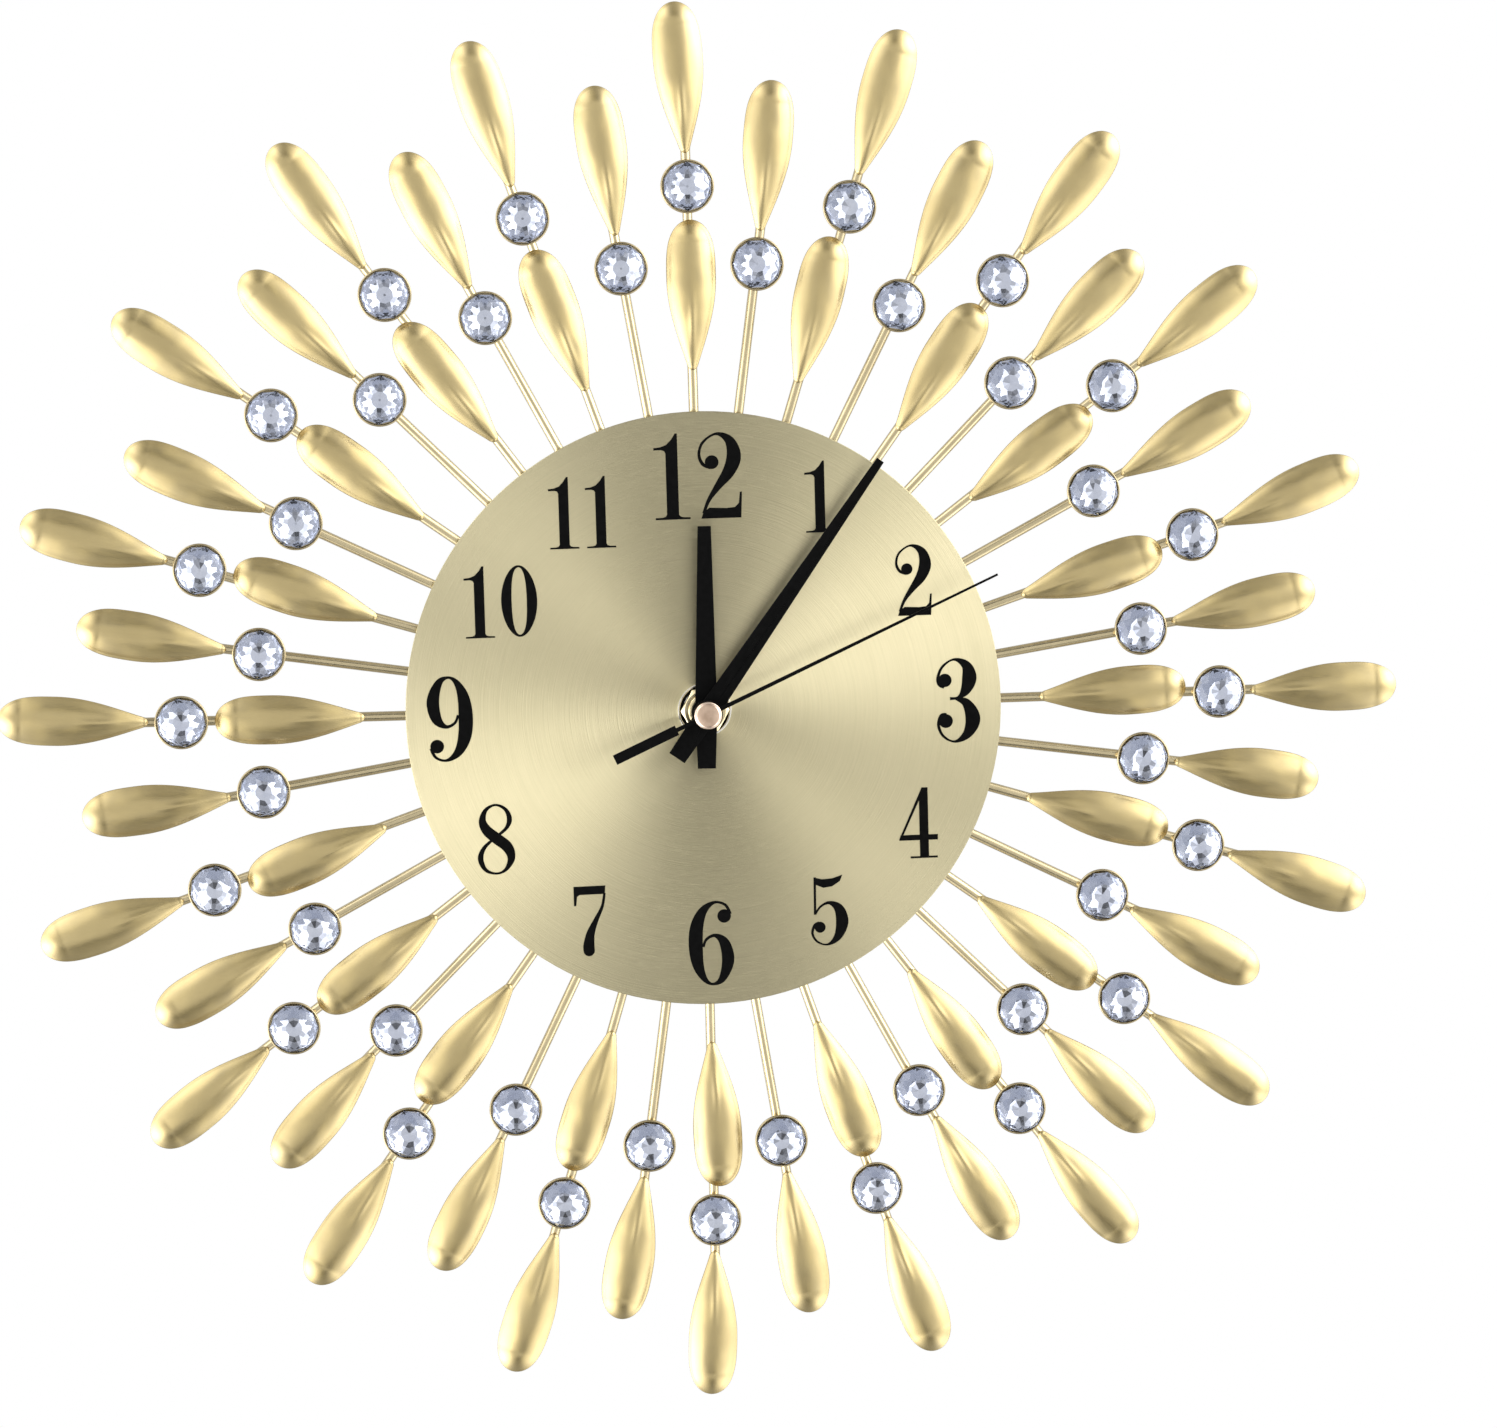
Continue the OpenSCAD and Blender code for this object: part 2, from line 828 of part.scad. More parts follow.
// The centre wheel slips on the minute pipe when the hands are set
module centre_wheel()
    color("#e6dcc0") upright()
        difference() {
            union() {
                translate([0, 0, centre_wheel_z])
                    driven_gear(centre_teeth, centre_mod, wheel_t, to_third + 180);
                translate([0, 0, centre_wheel_z - 0.3])
                    cylinder(r = 3, h = wheel_t + 0.6);
            }
            arbor_hole([0, 0], minute_r + run_gap, centre_wheel_z - past,
                       centre_wheel_z + wheel_t + past);
        }

/* Motion work, from the minute pipe to the hour wheel and the knob */

module minute_pipe()
    color("#f2efe6") upright()
        difference() {
            union() {
                arbor([0, 0], minute_r, pipe_low_z, minute_hand_z + hand_t + 0.3);
                translate([0, 0, cannon_leaf_z])
                    gear(cannon_leaves, cannon_mod, 1.4, to_motion);
            }
            arbor_hole([0, 0], seconds_r + run_gap, pipe_low_z - past, second_hand_z);
        }

module motion_wheel()
    color("#f2efe6") upright() {
        arbor(motion_at, motion_arbor_r, knob_z + knob_face_t, arbor_top);
        wheel_and_pinion(motion_at, motion_wheel_z,
                         motion_teeth, cannon_mod, to_motion,
                         motion_leaves, hour_mod, motion_leaf_top, to_motion + 180);
    }

module time_set_knob() {
    flutes = 20;
    color("#1d1d1f") upright()
        translate([motion_at.x, motion_at.y, knob_z])
            difference() {
                cylinder(r = knob_r, h = knob_t);
                translate([0, 0, knob_face_t])
                    cylinder(r = motion_arbor_r + push_gap, h = knob_t);
                for (i = [0 : flutes - 1])
                    rotate(360 / flutes * i)
                        translate([knob_r + 0.15, 0, -past])
                            cylinder(r = 0.4, h = knob_t + 2 * past, $fn = 16);
            }
}

module hour_wheel()
    color("#f2efe6") upright()
        difference() {
            union() {
                translate([0, 0, hour_wheel_z])
                    driven_gear(hour_teeth, hour_mod, wheel_t, to_motion + 180);
                arbor([0, 0], hour_r, hour_wheel_z - 0.2, hour_hand_z + hand_t + 0.3);
            }
            arbor_hole([0, 0], minute_r + run_gap, hour_wheel_z - past,
                       hour_hand_z + hand_t + past);
        }

/* Hands */

// A flat hand that is widest at its axis and tapers towards its tip and its tail
module hand_blade(tip_l, tip_w, tail_l, tail_w, hub_w, angle, z)
    translate([0, 0, z])
        rotate(-angle)
            linear_extrude(hand_t)
                polygon([
                    [-tail_w / 2, -tail_l], [tail_w / 2, -tail_l], [hub_w / 2, 0],
                    [tip_w / 2, tip_l], [-tip_w / 2, tip_l], [-hub_w / 2, 0]
                ]);

module hour_hand()
    color("#141416") upright()
        difference() {
            union() {
                hand_blade(hour_hand_l, 3.1, 13.2, 4.2, 5.2, hour_angle, hour_hand_z);
                arbor([0, 0], 3.4, hour_hand_z - 1, hour_hand_z + hand_t);
            }
            arbor_hole([0, 0], hour_r + push_gap, hour_hand_z - 1 - past,
                       hour_hand_z + hand_t + past);
        }

module minute_hand()
    color("#141416") upright()
        difference() {
            union() {
                hand_blade(minute_hand_l, 1.9, 12.5, 4.3, 4.9, minute_angle, minute_hand_z);
                arbor([0, 0], 2.6, minute_hand_z - 1, minute_hand_z + hand_t);
            }
            arbor_hole([0, 0], minute_r + push_gap, minute_hand_z - 1 - past,
                       minute_hand_z + hand_t + past);
        }

module second_hand() {
    weight_start = 8;
    weight_end = 24;
    weight_w = 2.4;
    color("#141416") upright()
        difference() {
            union() {
                hand_blade(second_hand_l, 0.5, weight_end - 0.2, 1, 1, second_angle, second_hand_z);
                translate([0, 0, second_hand_z])
                    rotate(-second_angle)
                        translate([-weight_w / 2, -weight_end, 0])
                            cube([weight_w, weight_end - weight_start, hand_t]);
                arbor([0, 0], 3.5, second_hand_z, second_hand_z + hand_t);
            }
            arbor_hole([0, 0], 1.1 + push_gap, second_hand_z - past, second_hand_z + hand_t + past);
        }
}

// A dished copper cap whose tube carries the second hand on the seconds arbor
module hand_cap() {
    cap_r = 3.2;
    tube_low = second_hand_z - 1.4;
    cap_low = second_hand_z + hand_t;
    color("#d9a27c") upright()
        rotate_extrude()
            polygon([
                [seconds_r + push_gap, tube_low], [1.1, tube_low], [1.1, cap_low],
                [cap_r, cap_low], [cap_r, cap_low + 1], [cap_r - 0.2, cap_low + 1.2],
                [cap_r - 0.5, cap_low + 1.2], [cap_r - 0.8, cap_low + 0.9], [0, cap_low + 0.9],
                [0, cap_low], [seconds_r + push_gap, cap_low]
            ]);
}

dial_plate();
dial_backing();
hub_plate();
long_rods();
short_rods();
outer_petals();
inner_petals();
short_petals();
long_cups();
short_cups();
long_stones();
short_stones();
hanger();
rubber_washer();
brass_washer();
hex_nut();
threaded_bush();
front_case();
rear_cover();
train_bridge();
circuit_board();
chip_cover();
timing_crystal();
coil_core();
coil_bobbin();
coil_winding();
stator();
positive_contact();
negative_contact();
battery();
rotor_magnet();
rotor_pinion();
intermediate_wheel();
seconds_wheel();
third_wheel();
centre_wheel();
minute_pipe();
motion_wheel();
time_set_knob();
hour_wheel();
hour_hand();
minute_hand();
second_hand();
hand_cap();
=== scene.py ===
"""Looks for the sunburst wall clock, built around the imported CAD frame.

Shapes are worked out in face coordinates, in millimetres: x to the right and y up the
dial as seen from the front, and a height out from the wall. stand() turns them into the
row frame. Where a ray, petal or stone stands is read from the CAD nodes.
"""

import math
import random

import bmesh
import bpy
import numpy as np
from mathutils import Matrix, Vector
from mathutils.geometry import delaunay_2d_cdt


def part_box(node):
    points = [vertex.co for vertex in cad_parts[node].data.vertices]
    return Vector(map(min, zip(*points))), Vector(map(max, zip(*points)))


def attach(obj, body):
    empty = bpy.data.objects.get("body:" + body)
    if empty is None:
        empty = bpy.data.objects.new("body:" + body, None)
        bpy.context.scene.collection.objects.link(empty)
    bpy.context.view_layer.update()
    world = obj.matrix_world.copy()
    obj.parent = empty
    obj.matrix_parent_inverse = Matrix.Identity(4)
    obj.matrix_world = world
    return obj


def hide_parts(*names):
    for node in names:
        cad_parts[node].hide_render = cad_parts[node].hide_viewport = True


MM = 0.001
RAYS = 20
STEP = 360 / RAYS
LONG_FROM = 0
SHORT_FROM = STEP / 2

# Petals, with the same driving sizes as the CAD source. The tilt and lean are in degrees, and
# PETAL_ROUND_FOOT and WIDEST_AT are shares of the length.
PETAL_L = 35
PETAL_W = 11.6
PETAL_RISE = 2.6
PETAL_T = 0.8
PETAL_END_HALF_W = 0.95
PETAL_EDGE_TILT = 44
PETAL_ROUND_END = 5.2
PETAL_ROUND_FOOT = 0.03
WIDEST_AT = 0.62
PETAL_CREASE_H = 0.30
PETAL_CREASE_HALF_W = 0.7
PETAL_LEAN = 1.6
WELD = 0.2

STONE_R = 5.7
STONE_FACETS = 10
STONE_FOIL_TOP = 1.32
CUP_LIP_W = 0.55
ROD_R = 1.15
ROD_END = 0.6

# Numbers on the dial
TALL_NUMBER = 20.1
SMALL_NUMBER = 16.8
NUMBERS_WITHIN_R = 65.8
NUMBER_T = 0.04
GLYPH_GAP = 0.1

# The photographer's place: degrees left of and above the clock, and metres away
CAMERA_LEFT = 4.2
CAMERA_ABOVE = 6.6
CAMERA_ROLL = 1.6
CAMERA_AWAY = 1.2
CAMERA_AIM = (0.0103, -0.024, -0.0014)
CAMERA_LENS = 122.9

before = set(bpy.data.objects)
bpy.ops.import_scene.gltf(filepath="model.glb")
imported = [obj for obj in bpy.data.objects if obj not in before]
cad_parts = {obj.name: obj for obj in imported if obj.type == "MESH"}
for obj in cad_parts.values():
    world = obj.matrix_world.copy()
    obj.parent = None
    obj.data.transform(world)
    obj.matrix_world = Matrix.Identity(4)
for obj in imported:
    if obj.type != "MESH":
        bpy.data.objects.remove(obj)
random.seed(12)


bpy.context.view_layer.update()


# Shapes


def stand(points):
    """Face coordinates in mm, with the height last, as row frame points in metres."""
    p = np.asarray(points, float).reshape(-1, 3)
    return np.stack([p[:, 0], -p[:, 2], p[:, 1]], axis=1) * MM


def height_of(node, front=True):
    """How far a node's front (or back) face stands out from the wall, in mm."""
    low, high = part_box(node)
    return -(low if front else high).y / MM


def grid_faces(rows, columns, closed=False):
    """Quads that join a grid of points, stored row by row, each row closed on itself.

    A closed grid joins its last row to its first as well.
    """
    faces = []
    for r in range(rows if closed else rows - 1):
        here, there = r * columns, (r + 1) % rows * columns
        for c in range(columns):
            nxt = (c + 1) % columns
            faces.append((here + c, here + nxt, there + nxt, there + c))
    return faces


def steps_round(count):
    """The angles of equal steps round a circle."""
    return [2 * math.pi * k / count for k in range(count)]


def turned(profile, segments=96, radius_at=None):
    """A closed profile of (radius, height) points turned about the height axis."""
    points = []
    for angle in steps_round(segments):
        for r, z in profile:
            if radius_at:
                r = radius_at(r, z, angle)
            points.append((r * math.cos(angle), r * math.sin(angle), z))
    return np.array(points), grid_faces(segments, len(profile), closed=True)


def rolled(points, angle, a, b):
    """Points turned by an angle in the plane of two of their axes, from a towards b."""
    out = points.copy()
    out[:, a] = points[:, a] * math.cos(angle) - points[:, b] * math.sin(angle)
    out[:, b] = points[:, a] * math.sin(angle) + points[:, b] * math.cos(angle)
    return out


def placed(points, at, direction, height):
    """Points moved so that their y runs along direction (a unit vector) from at."""
    dx, dy = direction
    x = at[0] + points[:, 0] * dy + points[:, 1] * dx
    y = at[1] - points[:, 0] * dx + points[:, 1] * dy
    return np.stack([x, y, points[:, 2] + height], axis=1)


def joined(shapes):
    """Several (points, faces) shapes as one."""
    points, faces, start = [], [], 0
    for shape_points, shape_faces in shapes:
        points.append(shape_points)
        faces.extend(tuple(start + i for i in face) for face in shape_faces)
        start += len(shape_points)
    return np.concatenate(points), faces


def make_piece(
    name, shape, slot, stands_for=(), body="clock_body", materials=None, sharp=35, uv=None
):
    """One object from a shape in face coordinates, riding on a CAD body.

    Its slot's name is its material's name too, unless materials are listed.
    """
    points, faces = shape
    mesh = bpy.data.meshes.new(name)
    mesh.from_pydata(stand(points).tolist(), [], faces)
    if uv is not None:
        layer = mesh.uv_layers.new(name="along")
        corners = np.zeros(len(mesh.loops), int)
        mesh.loops.foreach_get("vertex_index", corners)
        layer.data.foreach_set("uv", np.asarray(uv, float)[corners].ravel())
    tidy = bpy.data.objects.new(name, mesh)
    bpy.context.scene.collection.objects.link(tidy)
    clean(mesh)
    mesh.shade_smooth()
    mesh.set_sharp_from_angle(angle=math.radians(sharp))
    for material in materials or [slot]:
        mesh.materials.append(MATERIALS[material])
    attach(tidy, body)
    if stands_for:
        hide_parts(*stands_for)
    return tidy


def second_material(piece, chosen):
    """Gives a piece's second material to the faces whose middles are chosen."""
    for polygon in piece.data.polygons:
        x, back, y = polygon.center / MM
        if chosen(x, y, -back):
            polygon.material_index = 1


def clean(mesh):
    """Merges points that coincide, drops faces without area and turns faces outward."""
    b = bmesh.new()
    b.from_mesh(mesh)
    bmesh.ops.remove_doubles(b, verts=b.verts, dist=0.002 * MM)
    bmesh.ops.dissolve_degenerate(b, edges=b.edges, dist=0.001 * MM)
    bmesh.ops.recalc_face_normals(b, faces=b.faces)
    b.to_mesh(mesh)
    b.free()


# Where the CAD puts each ray's pieces


def by_ray(node, first_turn):
    """A node's points in face coordinates, one array for each ray, clockwise from 12."""
    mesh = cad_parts[node].data
    co = np.zeros(len(mesh.vertices) * 3)
    mesh.vertices.foreach_get("co", co)
    co = co.reshape(-1, 3) / MM
    points = np.stack([co[:, 0], co[:, 2], -co[:, 1]], axis=1)
    turn = np.degrees(np.arctan2(points[:, 0], points[:, 1]))
    ray = np.round((turn - first_turn) / STEP).astype(int) % RAYS
    return [points[ray == i] for i in range(RAYS)]


def petal_places(node, first_turn):
    """For each petal, the middle of its narrow end and the direction it points in."""
    places = []
    for group in by_ray(node, first_turn):
        flat = group[:, :2]
        outward = flat.mean(axis=0)
        outward = outward / np.linalg.norm(outward)
        along = flat @ outward
        near = flat[along < along.min() + 1.5]
        tip = flat[np.argmax(np.linalg.norm(flat - near.mean(axis=0), axis=1))]
        span = tip - near.mean(axis=0)
        direction = span / np.linalg.norm(span)
        places.append((tip - direction * PETAL_L, direction))
    return places


def round_places(node, first_turn):
    """For each cup or stone, its centre and the direction of its ray."""
    places = []
    for group in by_ray(node, first_turn):
        flat = group[:, :2]
        centre = (flat.min(axis=0) + flat.max(axis=0)) / 2
        places.append((centre, centre / np.linalg.norm(centre)))
    return places


def rod_places(node, first_turn):
    """For each rod, where it starts, its direction and its length."""
    places = []
    for group in by_ray(node, first_turn):
        flat = group[:, :2]
        reach = np.linalg.norm(flat, axis=1)
        middle = (reach.min() + reach.max()) / 2
        start = flat[reach < middle].mean(axis=0)
        end = flat[reach > middle].mean(axis=0)
        span = end - start
        length = np.linalg.norm(span)
        places.append((start, span / length, length))
    return places


# Materials, by name

MATERIALS = {}

# Grains of a finish, in features a metre
FINE, COARSE = 900.0, 220.0

# Most of a noise's values lie between these two
NOISE_LOW, NOISE_HIGH = 0.3, 0.7

# The mix node has sockets for each kind of value. These are its factor and its two colours.
MIX_SOCKETS = (0, 6, 7)
MIX_RESULT = 2


class Nodes:
    """A shader node tree, built up from left to right."""

    def __init__(self, tree):
        self.tree = tree
        tree.nodes.clear()

    def add(self, kind, sockets=None, **settings):
        """A node with its settings, and with its input sockets fed by name or number."""
        node = self.tree.nodes.new(kind)
        for key, value in settings.items():
            setattr(node, key, value)
        for key, value in (sockets or {}).items():
            self.feed(node.inputs[key], value)
        return node

    def feed(self, socket, value):
        """Joins a socket to another node's output, or gives it a constant."""
        if isinstance(value, bpy.types.NodeSocket):
            self.tree.links.new(value, socket)
        else:
            socket.default_value = value

    def maths(self, operation, a, b=0.0):
        return self.add("ShaderNodeMath", {0: a, 1: b}, operation=operation).outputs[0]

    def where(self, source="Object"):
        return self.add("ShaderNodeTexCoord").outputs[source]

    def split(self, source="Object"):
        """The x, y and z of a texture coordinate."""
        return list(self.add("ShaderNodeSeparateXYZ", {"Vector": self.where(source)}).outputs)

    def ramp(self, factor, stops):
        """A colour that runs through stops, each a position and a colour."""
        node = self.add("ShaderNodeValToRGB", {"Fac": factor})
        elements = node.color_ramp.elements
        for element, (position, colour) in zip(elements, (stops[0], stops[-1])):
            element.position = position
            element.color = (*colour, 1)
        for position, colour in stops[1:-1]:
            elements.new(position).color = (*colour, 1)
        return node.outputs["Color"]

    def mix(self, factor, a, b):
        """Colour a where the factor is 0, and colour b where it is 1."""
        sockets = dict(zip(MIX_SOCKETS, (factor, a, b)))
        return self.add("ShaderNodeMix", sockets, data_type="RGBA").outputs[MIX_RESULT]


class Look(Nodes):
    """A material with one shader, whose constants are given by their sockets' names."""

    def __init__(self, name, **constants):
        material = bpy.data.materials.new(name)
        material.use_nodes = True
        super().__init__(material.node_tree)
        sockets = {key.replace("_", " "): value for key, value in constants.items()}
        self.shader = self.add("ShaderNodeBsdfPrincipled", sockets)
        self.add("ShaderNodeOutputMaterial", {"Surface": self.shader.outputs["BSDF"]})
        MATERIALS[name] = material

    def noise(self, scale, detail=5.0, roughness=0.55, vector=None):
        """A noise with so many features a metre, or along another vector."""
        vector = self.where() if vector is None else vector
        sockets = {"Scale": scale, "Detail": detail, "Roughness": roughness, "Vector": vector}
        return self.add("ShaderNodeTexNoise", sockets).outputs["Fac"]

    def waves(self, scale, distortion, **settings):
        sockets = {"Scale": scale, "Distortion": distortion, "Vector": self.where()}
        return self.add("ShaderNodeTexWave", sockets, **settings).outputs["Fac"]

    def along_piece(self, scale):
        """The coordinates that run across and along a piece, stretched by a scale."""
        sockets = {"Scale": scale, "Vector": self.where("UV")}
        return self.add("ShaderNodeMapping", sockets).outputs["Vector"]

    def tones(self, factor, dark, light):
        return self.ramp(factor, [(NOISE_LOW, dark), (NOISE_HIGH, light)])

    def spread(self, factor, low, high):
        """A noise's values spread over a range."""
        ends = {"From Min": NOISE_LOW, "From Max": NOISE_HIGH, "To Min": low, "To Max": high}
        return self.add("ShaderNodeMapRange", {"Value": factor, **ends}).outputs["Result"]

    def bump(self, height, depth):
        """Bumps of the given depth, in mm."""
        sockets = {"Strength": 1.0, "Distance": depth * MM, "Height": height}
        bumps = self.add("ShaderNodeBump", sockets)
        self.feed(self.shader.inputs["Normal"], bumps.outputs["Normal"])

    def paint(self, colour, rough=None):
        self.feed(self.shader.inputs["Base Color"], colour)
        if rough is not None:
            self.feed(self.shader.inputs["Roughness"], rough)

    def cloud(self, scale, detail, dark, light, rough):
        """Colour and roughness that vary together over one noise."""
        noise = self.noise(scale, detail)
        self.paint(self.tones(noise, dark, light), self.spread(noise, *rough))


def grained(name, dark, light, rough, grain, depth, **constants):
    """A finish that varies between two colours over a grain, with fine bumps."""
    look = Look(name, **constants)
    fine = look.noise(grain * 4.3, 3.0)
    look.paint(look.tones(look.noise(grain), dark, light), look.spread(fine, *rough))
    look.bump(fine, depth)


def dial_finish():
    """Aluminium brushed in circles, so that its highlights fan out like wedges."""
    look = Look("dial_aluminium", Metallic=1.0, Anisotropic=1.0, Anisotropic_Rotation=0.25)
    lines_a_metre, lines_a_radian, above_zero = 3600.0, 1.5, 1e-8
    x, _, z = look.split()
    squares = look.maths("ADD", look.maths("MULTIPLY", x, x), look.maths("MULTIPLY", z, z))
    radius = look.maths("SQRT", look.maths("ADD", squares, above_zero))
    swirl = look.add("ShaderNodeCombineXYZ", {
        "X": look.maths("MULTIPLY", radius, lines_a_metre),
        "Y": look.maths("MULTIPLY", look.maths("DIVIDE", x, radius), lines_a_radian),
        "Z": look.maths("MULTIPLY", look.maths("DIVIDE", z, radius), lines_a_radian),
    })
    lines = look.noise(1.0, 4.0, 0.65, swirl.outputs["Vector"])
    patches = look.noise(28.0, 3.0)
    tone = look.maths("ADD", look.maths("MULTIPLY", lines, 0.6), look.maths("MULTIPLY", patches, 0.4))
    colour = look.ramp(tone, [(0.35, (0.61, 0.55, 0.345)), (0.65, (0.68, 0.61, 0.395))])
    look.paint(colour, look.spread(lines, 0.36, 0.42))
    look.bump(lines, 0.09)
    tangent = look.add("ShaderNodeTangent", direction_type="RADIAL", axis="Y")
    look.feed(look.shader.inputs["Tangent"], tangent.outputs["Tangent"])


def petal_finish():
    """Gold-coloured steel with a satin grain along the petal, under clear lacquer."""
    look = Look("gold_petal", Metallic=1.0, Coat_Weight=1.0, Coat_IOR=1.9, Coat_Roughness=0.32)
    line_depth, dent_depth = 0.006, 0.50
    lines = look.noise(3.0, 5.0, 0.6, look.along_piece((160.0, 12.0, 1.0)))
    dents = look.noise(1.0, 1.0, vector=look.along_piece((16.0, 9.0, 1.0)))
    colour = look.tones(look.noise(90.0, 3.0), (0.49, 0.37, 0.130), (0.565, 0.435, 0.165))
    look.paint(colour, look.spread(lines, 0.31, 0.40))
    fine_lines = look.maths("MULTIPLY", lines, line_depth / dent_depth)
    look.bump(look.maths("ADD", fine_lines, dents), dent_depth)


def stone_glass():
    """Clear crystal with the faintest lilac tint."""
    look = Look("stone_glass", Transmission_Weight=1.0, IOR=1.55)
    look.cloud(300.0, 2.0, (0.93, 0.94, 1.0), (0.97, 0.975, 1.0), (0.0, 0.012))


def stone_foil():
    """The silvered back of a stone."""
    look = Look("stone_foil", Metallic=1.0)
    look.cloud(500.0, 3.0, (0.62, 0.655, 0.745), (0.69, 0.72, 0.79), (0.02, 0.06))


def turned_metal(name, dark, light, rough):
    """Metal with fine lathe rings round the clock's axis."""
    look = Look(name, Metallic=1.0)
    look.cloud(400.0, 4.0, dark, light, rough)
    look.bump(look.waves(900.0, 1.5, wave_type="RINGS", rings_direction="Y"), 0.004)


def winding_finish():
    """Enamelled wire, wound round the coil's axis."""
    look = Look("copper_wire", Metallic=1.0, Coat_Weight=0.5)
    look.cloud(600.0, 3.0, (0.42, 0.14, 0.04), (0.55, 0.21, 0.07), (0.25, 0.4))
    look.bump(look.waves(1600.0, 0.0, wave_type="BANDS", bands_direction="X"), 0.03)


def zinc_finish():
    """Zinc-plated steel with faint crystal patches."""
    look = Look("zinc_steel", Metallic=1.0)
    cells = look.add("ShaderNodeTexVoronoi", {"Scale": 260.0, "Vector": look.where()})
    patch = look.add("ShaderNodeSeparateColor", {"Color": cells.outputs["Color"]})
    colour = look.ramp(patch.outputs["Red"], [(0.0, (0.50, 0.51, 0.52)), (1.0, (0.64, 0.65, 0.66))])
    fine = look.noise(1500.0, 4.0)
    look.paint(colour, look.spread(fine, 0.3, 0.45))
    look.bump(fine, 0.004)


def battery_finish(middle_x):
    """A printed sleeve: a pale band at the positive end and dark for the rest."""
    look = Look("battery_jacket", Coat_Weight=0.4, Coat_Roughness=0.15)
    x, _, _ = look.split()
    band = look.maths("GREATER_THAN", look.maths("SUBTRACT", x, middle_x), 11 * MM)
    scuffs = look.noise(500.0, 4.0)
    dark = look.tones(scuffs, (0.012, 0.03, 0.075), (0.02, 0.045, 0.11))
    pale = look.tones(scuffs, (0.50, 0.36, 0.16), (0.60, 0.44, 0.20))
    look.paint(look.mix(band, dark, pale), look.spread(scuffs, 0.25, 0.4))
    look.bump(scuffs, 0.003)


dial_finish()
petal_finish()
stone_glass()
stone_foil()
zinc_finish()
winding_finish()
turned_metal("brass", (0.72, 0.60, 0.36), (0.82, 0.71, 0.46), (0.22, 0.32))
turned_metal("nickel", (0.80, 0.77, 0.70), (0.88, 0.85, 0.78), (0.2, 0.3))
# Two copies of the cap's one copper: lighter for the rim as a painted highlight, darker for the dish
# as painted shade.
turned_metal("copper_cap", (0.86, 0.66, 0.52), (0.93, 0.76, 0.63), (0.2, 0.28))
turned_metal("copper_dish_painted_shade", (0.56, 0.40, 0.29), (0.78, 0.59, 0.45), (0.3, 0.4))
grained(
    "gold_steel", (0.58, 0.475, 0.25), (0.68, 0.56, 0.31), (0.2, 0.3), COARSE, 0.0008,
    Metallic=1.0, Coat_Weight=1.0, Coat_IOR=1.9, Coat_Roughness=0.2,
)
grained(
    "gold_cup", (0.46, 0.37, 0.20), (0.58, 0.47, 0.26), (0.18, 0.28), COARSE, 0.004,
    Metallic=1.0, Coat_Weight=0.6, Coat_IOR=1.7, Coat_Roughness=0.2,
)
grained(
    "white_plastic", (0.68, 0.66, 0.60), (0.78, 0.76, 0.70), (0.35, 0.5), FINE, 0.006,
    Subsurface_Weight=0.05,
)
grained(
    "tinned_steel", (0.60, 0.60, 0.60), (0.74, 0.74, 0.73), (0.2, 0.35), FINE, 0.004, Metallic=1.0,
)
grained("magnet", (0.10, 0.10, 0.11), (0.18, 0.18, 0.19), (0.4, 0.6), FINE, 0.01, Metallic=0.8)
grained(
    "black_paint", (0.002, 0.002, 0.002), (0.004, 0.004, 0.004), (0.38, 0.5), FINE, 0.004,
    Specular_IOR_Level=0.04,
)
grained("fibreboard", (0.13, 0.085, 0.05), (0.24, 0.17, 0.10), (0.8, 0.95), COARSE, 0.05)
grained("rubber", (0.012, 0.012, 0.012), (0.028, 0.028, 0.028), (0.65, 0.85), FINE, 0.02)
grained("black_plastic", (0.016, 0.016, 0.018), (0.030, 0.030, 0.033), (0.42, 0.6), FINE, 0.015)
grained("green_board", (0.01, 0.085, 0.03), (0.02, 0.14, 0.05), (0.3, 0.45), FINE, 0.01)
grained("black_resin", (0.008, 0.008, 0.009), (0.018, 0.018, 0.02), (0.15, 0.3), COARSE, 0.02)


def dress(node, slot, edge=0.0):
    """Gives a CAD node its material, and rounds its sharp edges by edge mm."""
    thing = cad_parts[node]
    if not thing.material_slots:
        thing.data.materials.append(None)
    for place in thing.material_slots:
        place.link = "OBJECT"
        place.material = MATERIALS[slot]
    if edge:
        weld = thing.modifiers.new("weld", "WELD")
        weld.merge_threshold = 0.001 * MM
        bevel = thing.modifiers.new("edges", "BEVEL")
        bevel.width = edge * MM
        bevel.segments = 3
        bevel.limit_method = "ANGLE"
        bevel.angle_limit = math.radians(40)
        bevel.use_clamp_overlap = True
        normals = thing.modifiers.new("normals", "WEIGHTED_NORMAL")
        normals.keep_sharp = False


# Petals


def petal_half_w(s):
    """Half the width of a petal at s, from 0 at its point to 1 at its round end."""
    if s < WIDEST_AT:
        grown = math.sin(math.pi / 2 * s / WIDEST_AT) ** 1.1
        return PETAL_END_HALF_W + (PETAL_W / 2 - PETAL_END_HALF_W) * grown
    past = (s - WIDEST_AT) / (1 - WIDEST_AT)
    return PETAL_W / 2 * math.sqrt(max(0, 1 - past**3.2))


def petal_crest(y):
    """Height of a petal's middle line above the rod."""
    s = min(max(y / PETAL_L, 0), 1)
    return PETAL_T - WELD + PETAL_RISE * math.sin(math.pi * s) ** 0.6


def petal_crease(x, y):
    """Height of the faint ridge that the press leaves up a petal's narrow half."""
    s = min(max((y / PETAL_L - 0.08) / 0.5, 0), 1)
    across = math.exp(-((x / PETAL_CREASE_HALF_W) ** 2))
    return PETAL_CREASE_H * math.sin(math.pi * s) ** 2 * across


def petal_outline(rows):
    """Points up a petal's right side, closer together at its two ends."""
    sides = []
    for k in range(rows + 1):
        s = (1 - math.cos(math.pi * k / rows)) / 2
        half_w = petal_half_w(s)
        if s < PETAL_ROUND_FOOT:
            half_w *= math.sqrt(1 - (1 - s / PETAL_ROUND_FOOT) ** 2)
        sides.append((half_w, s * PETAL_L))
    return sides


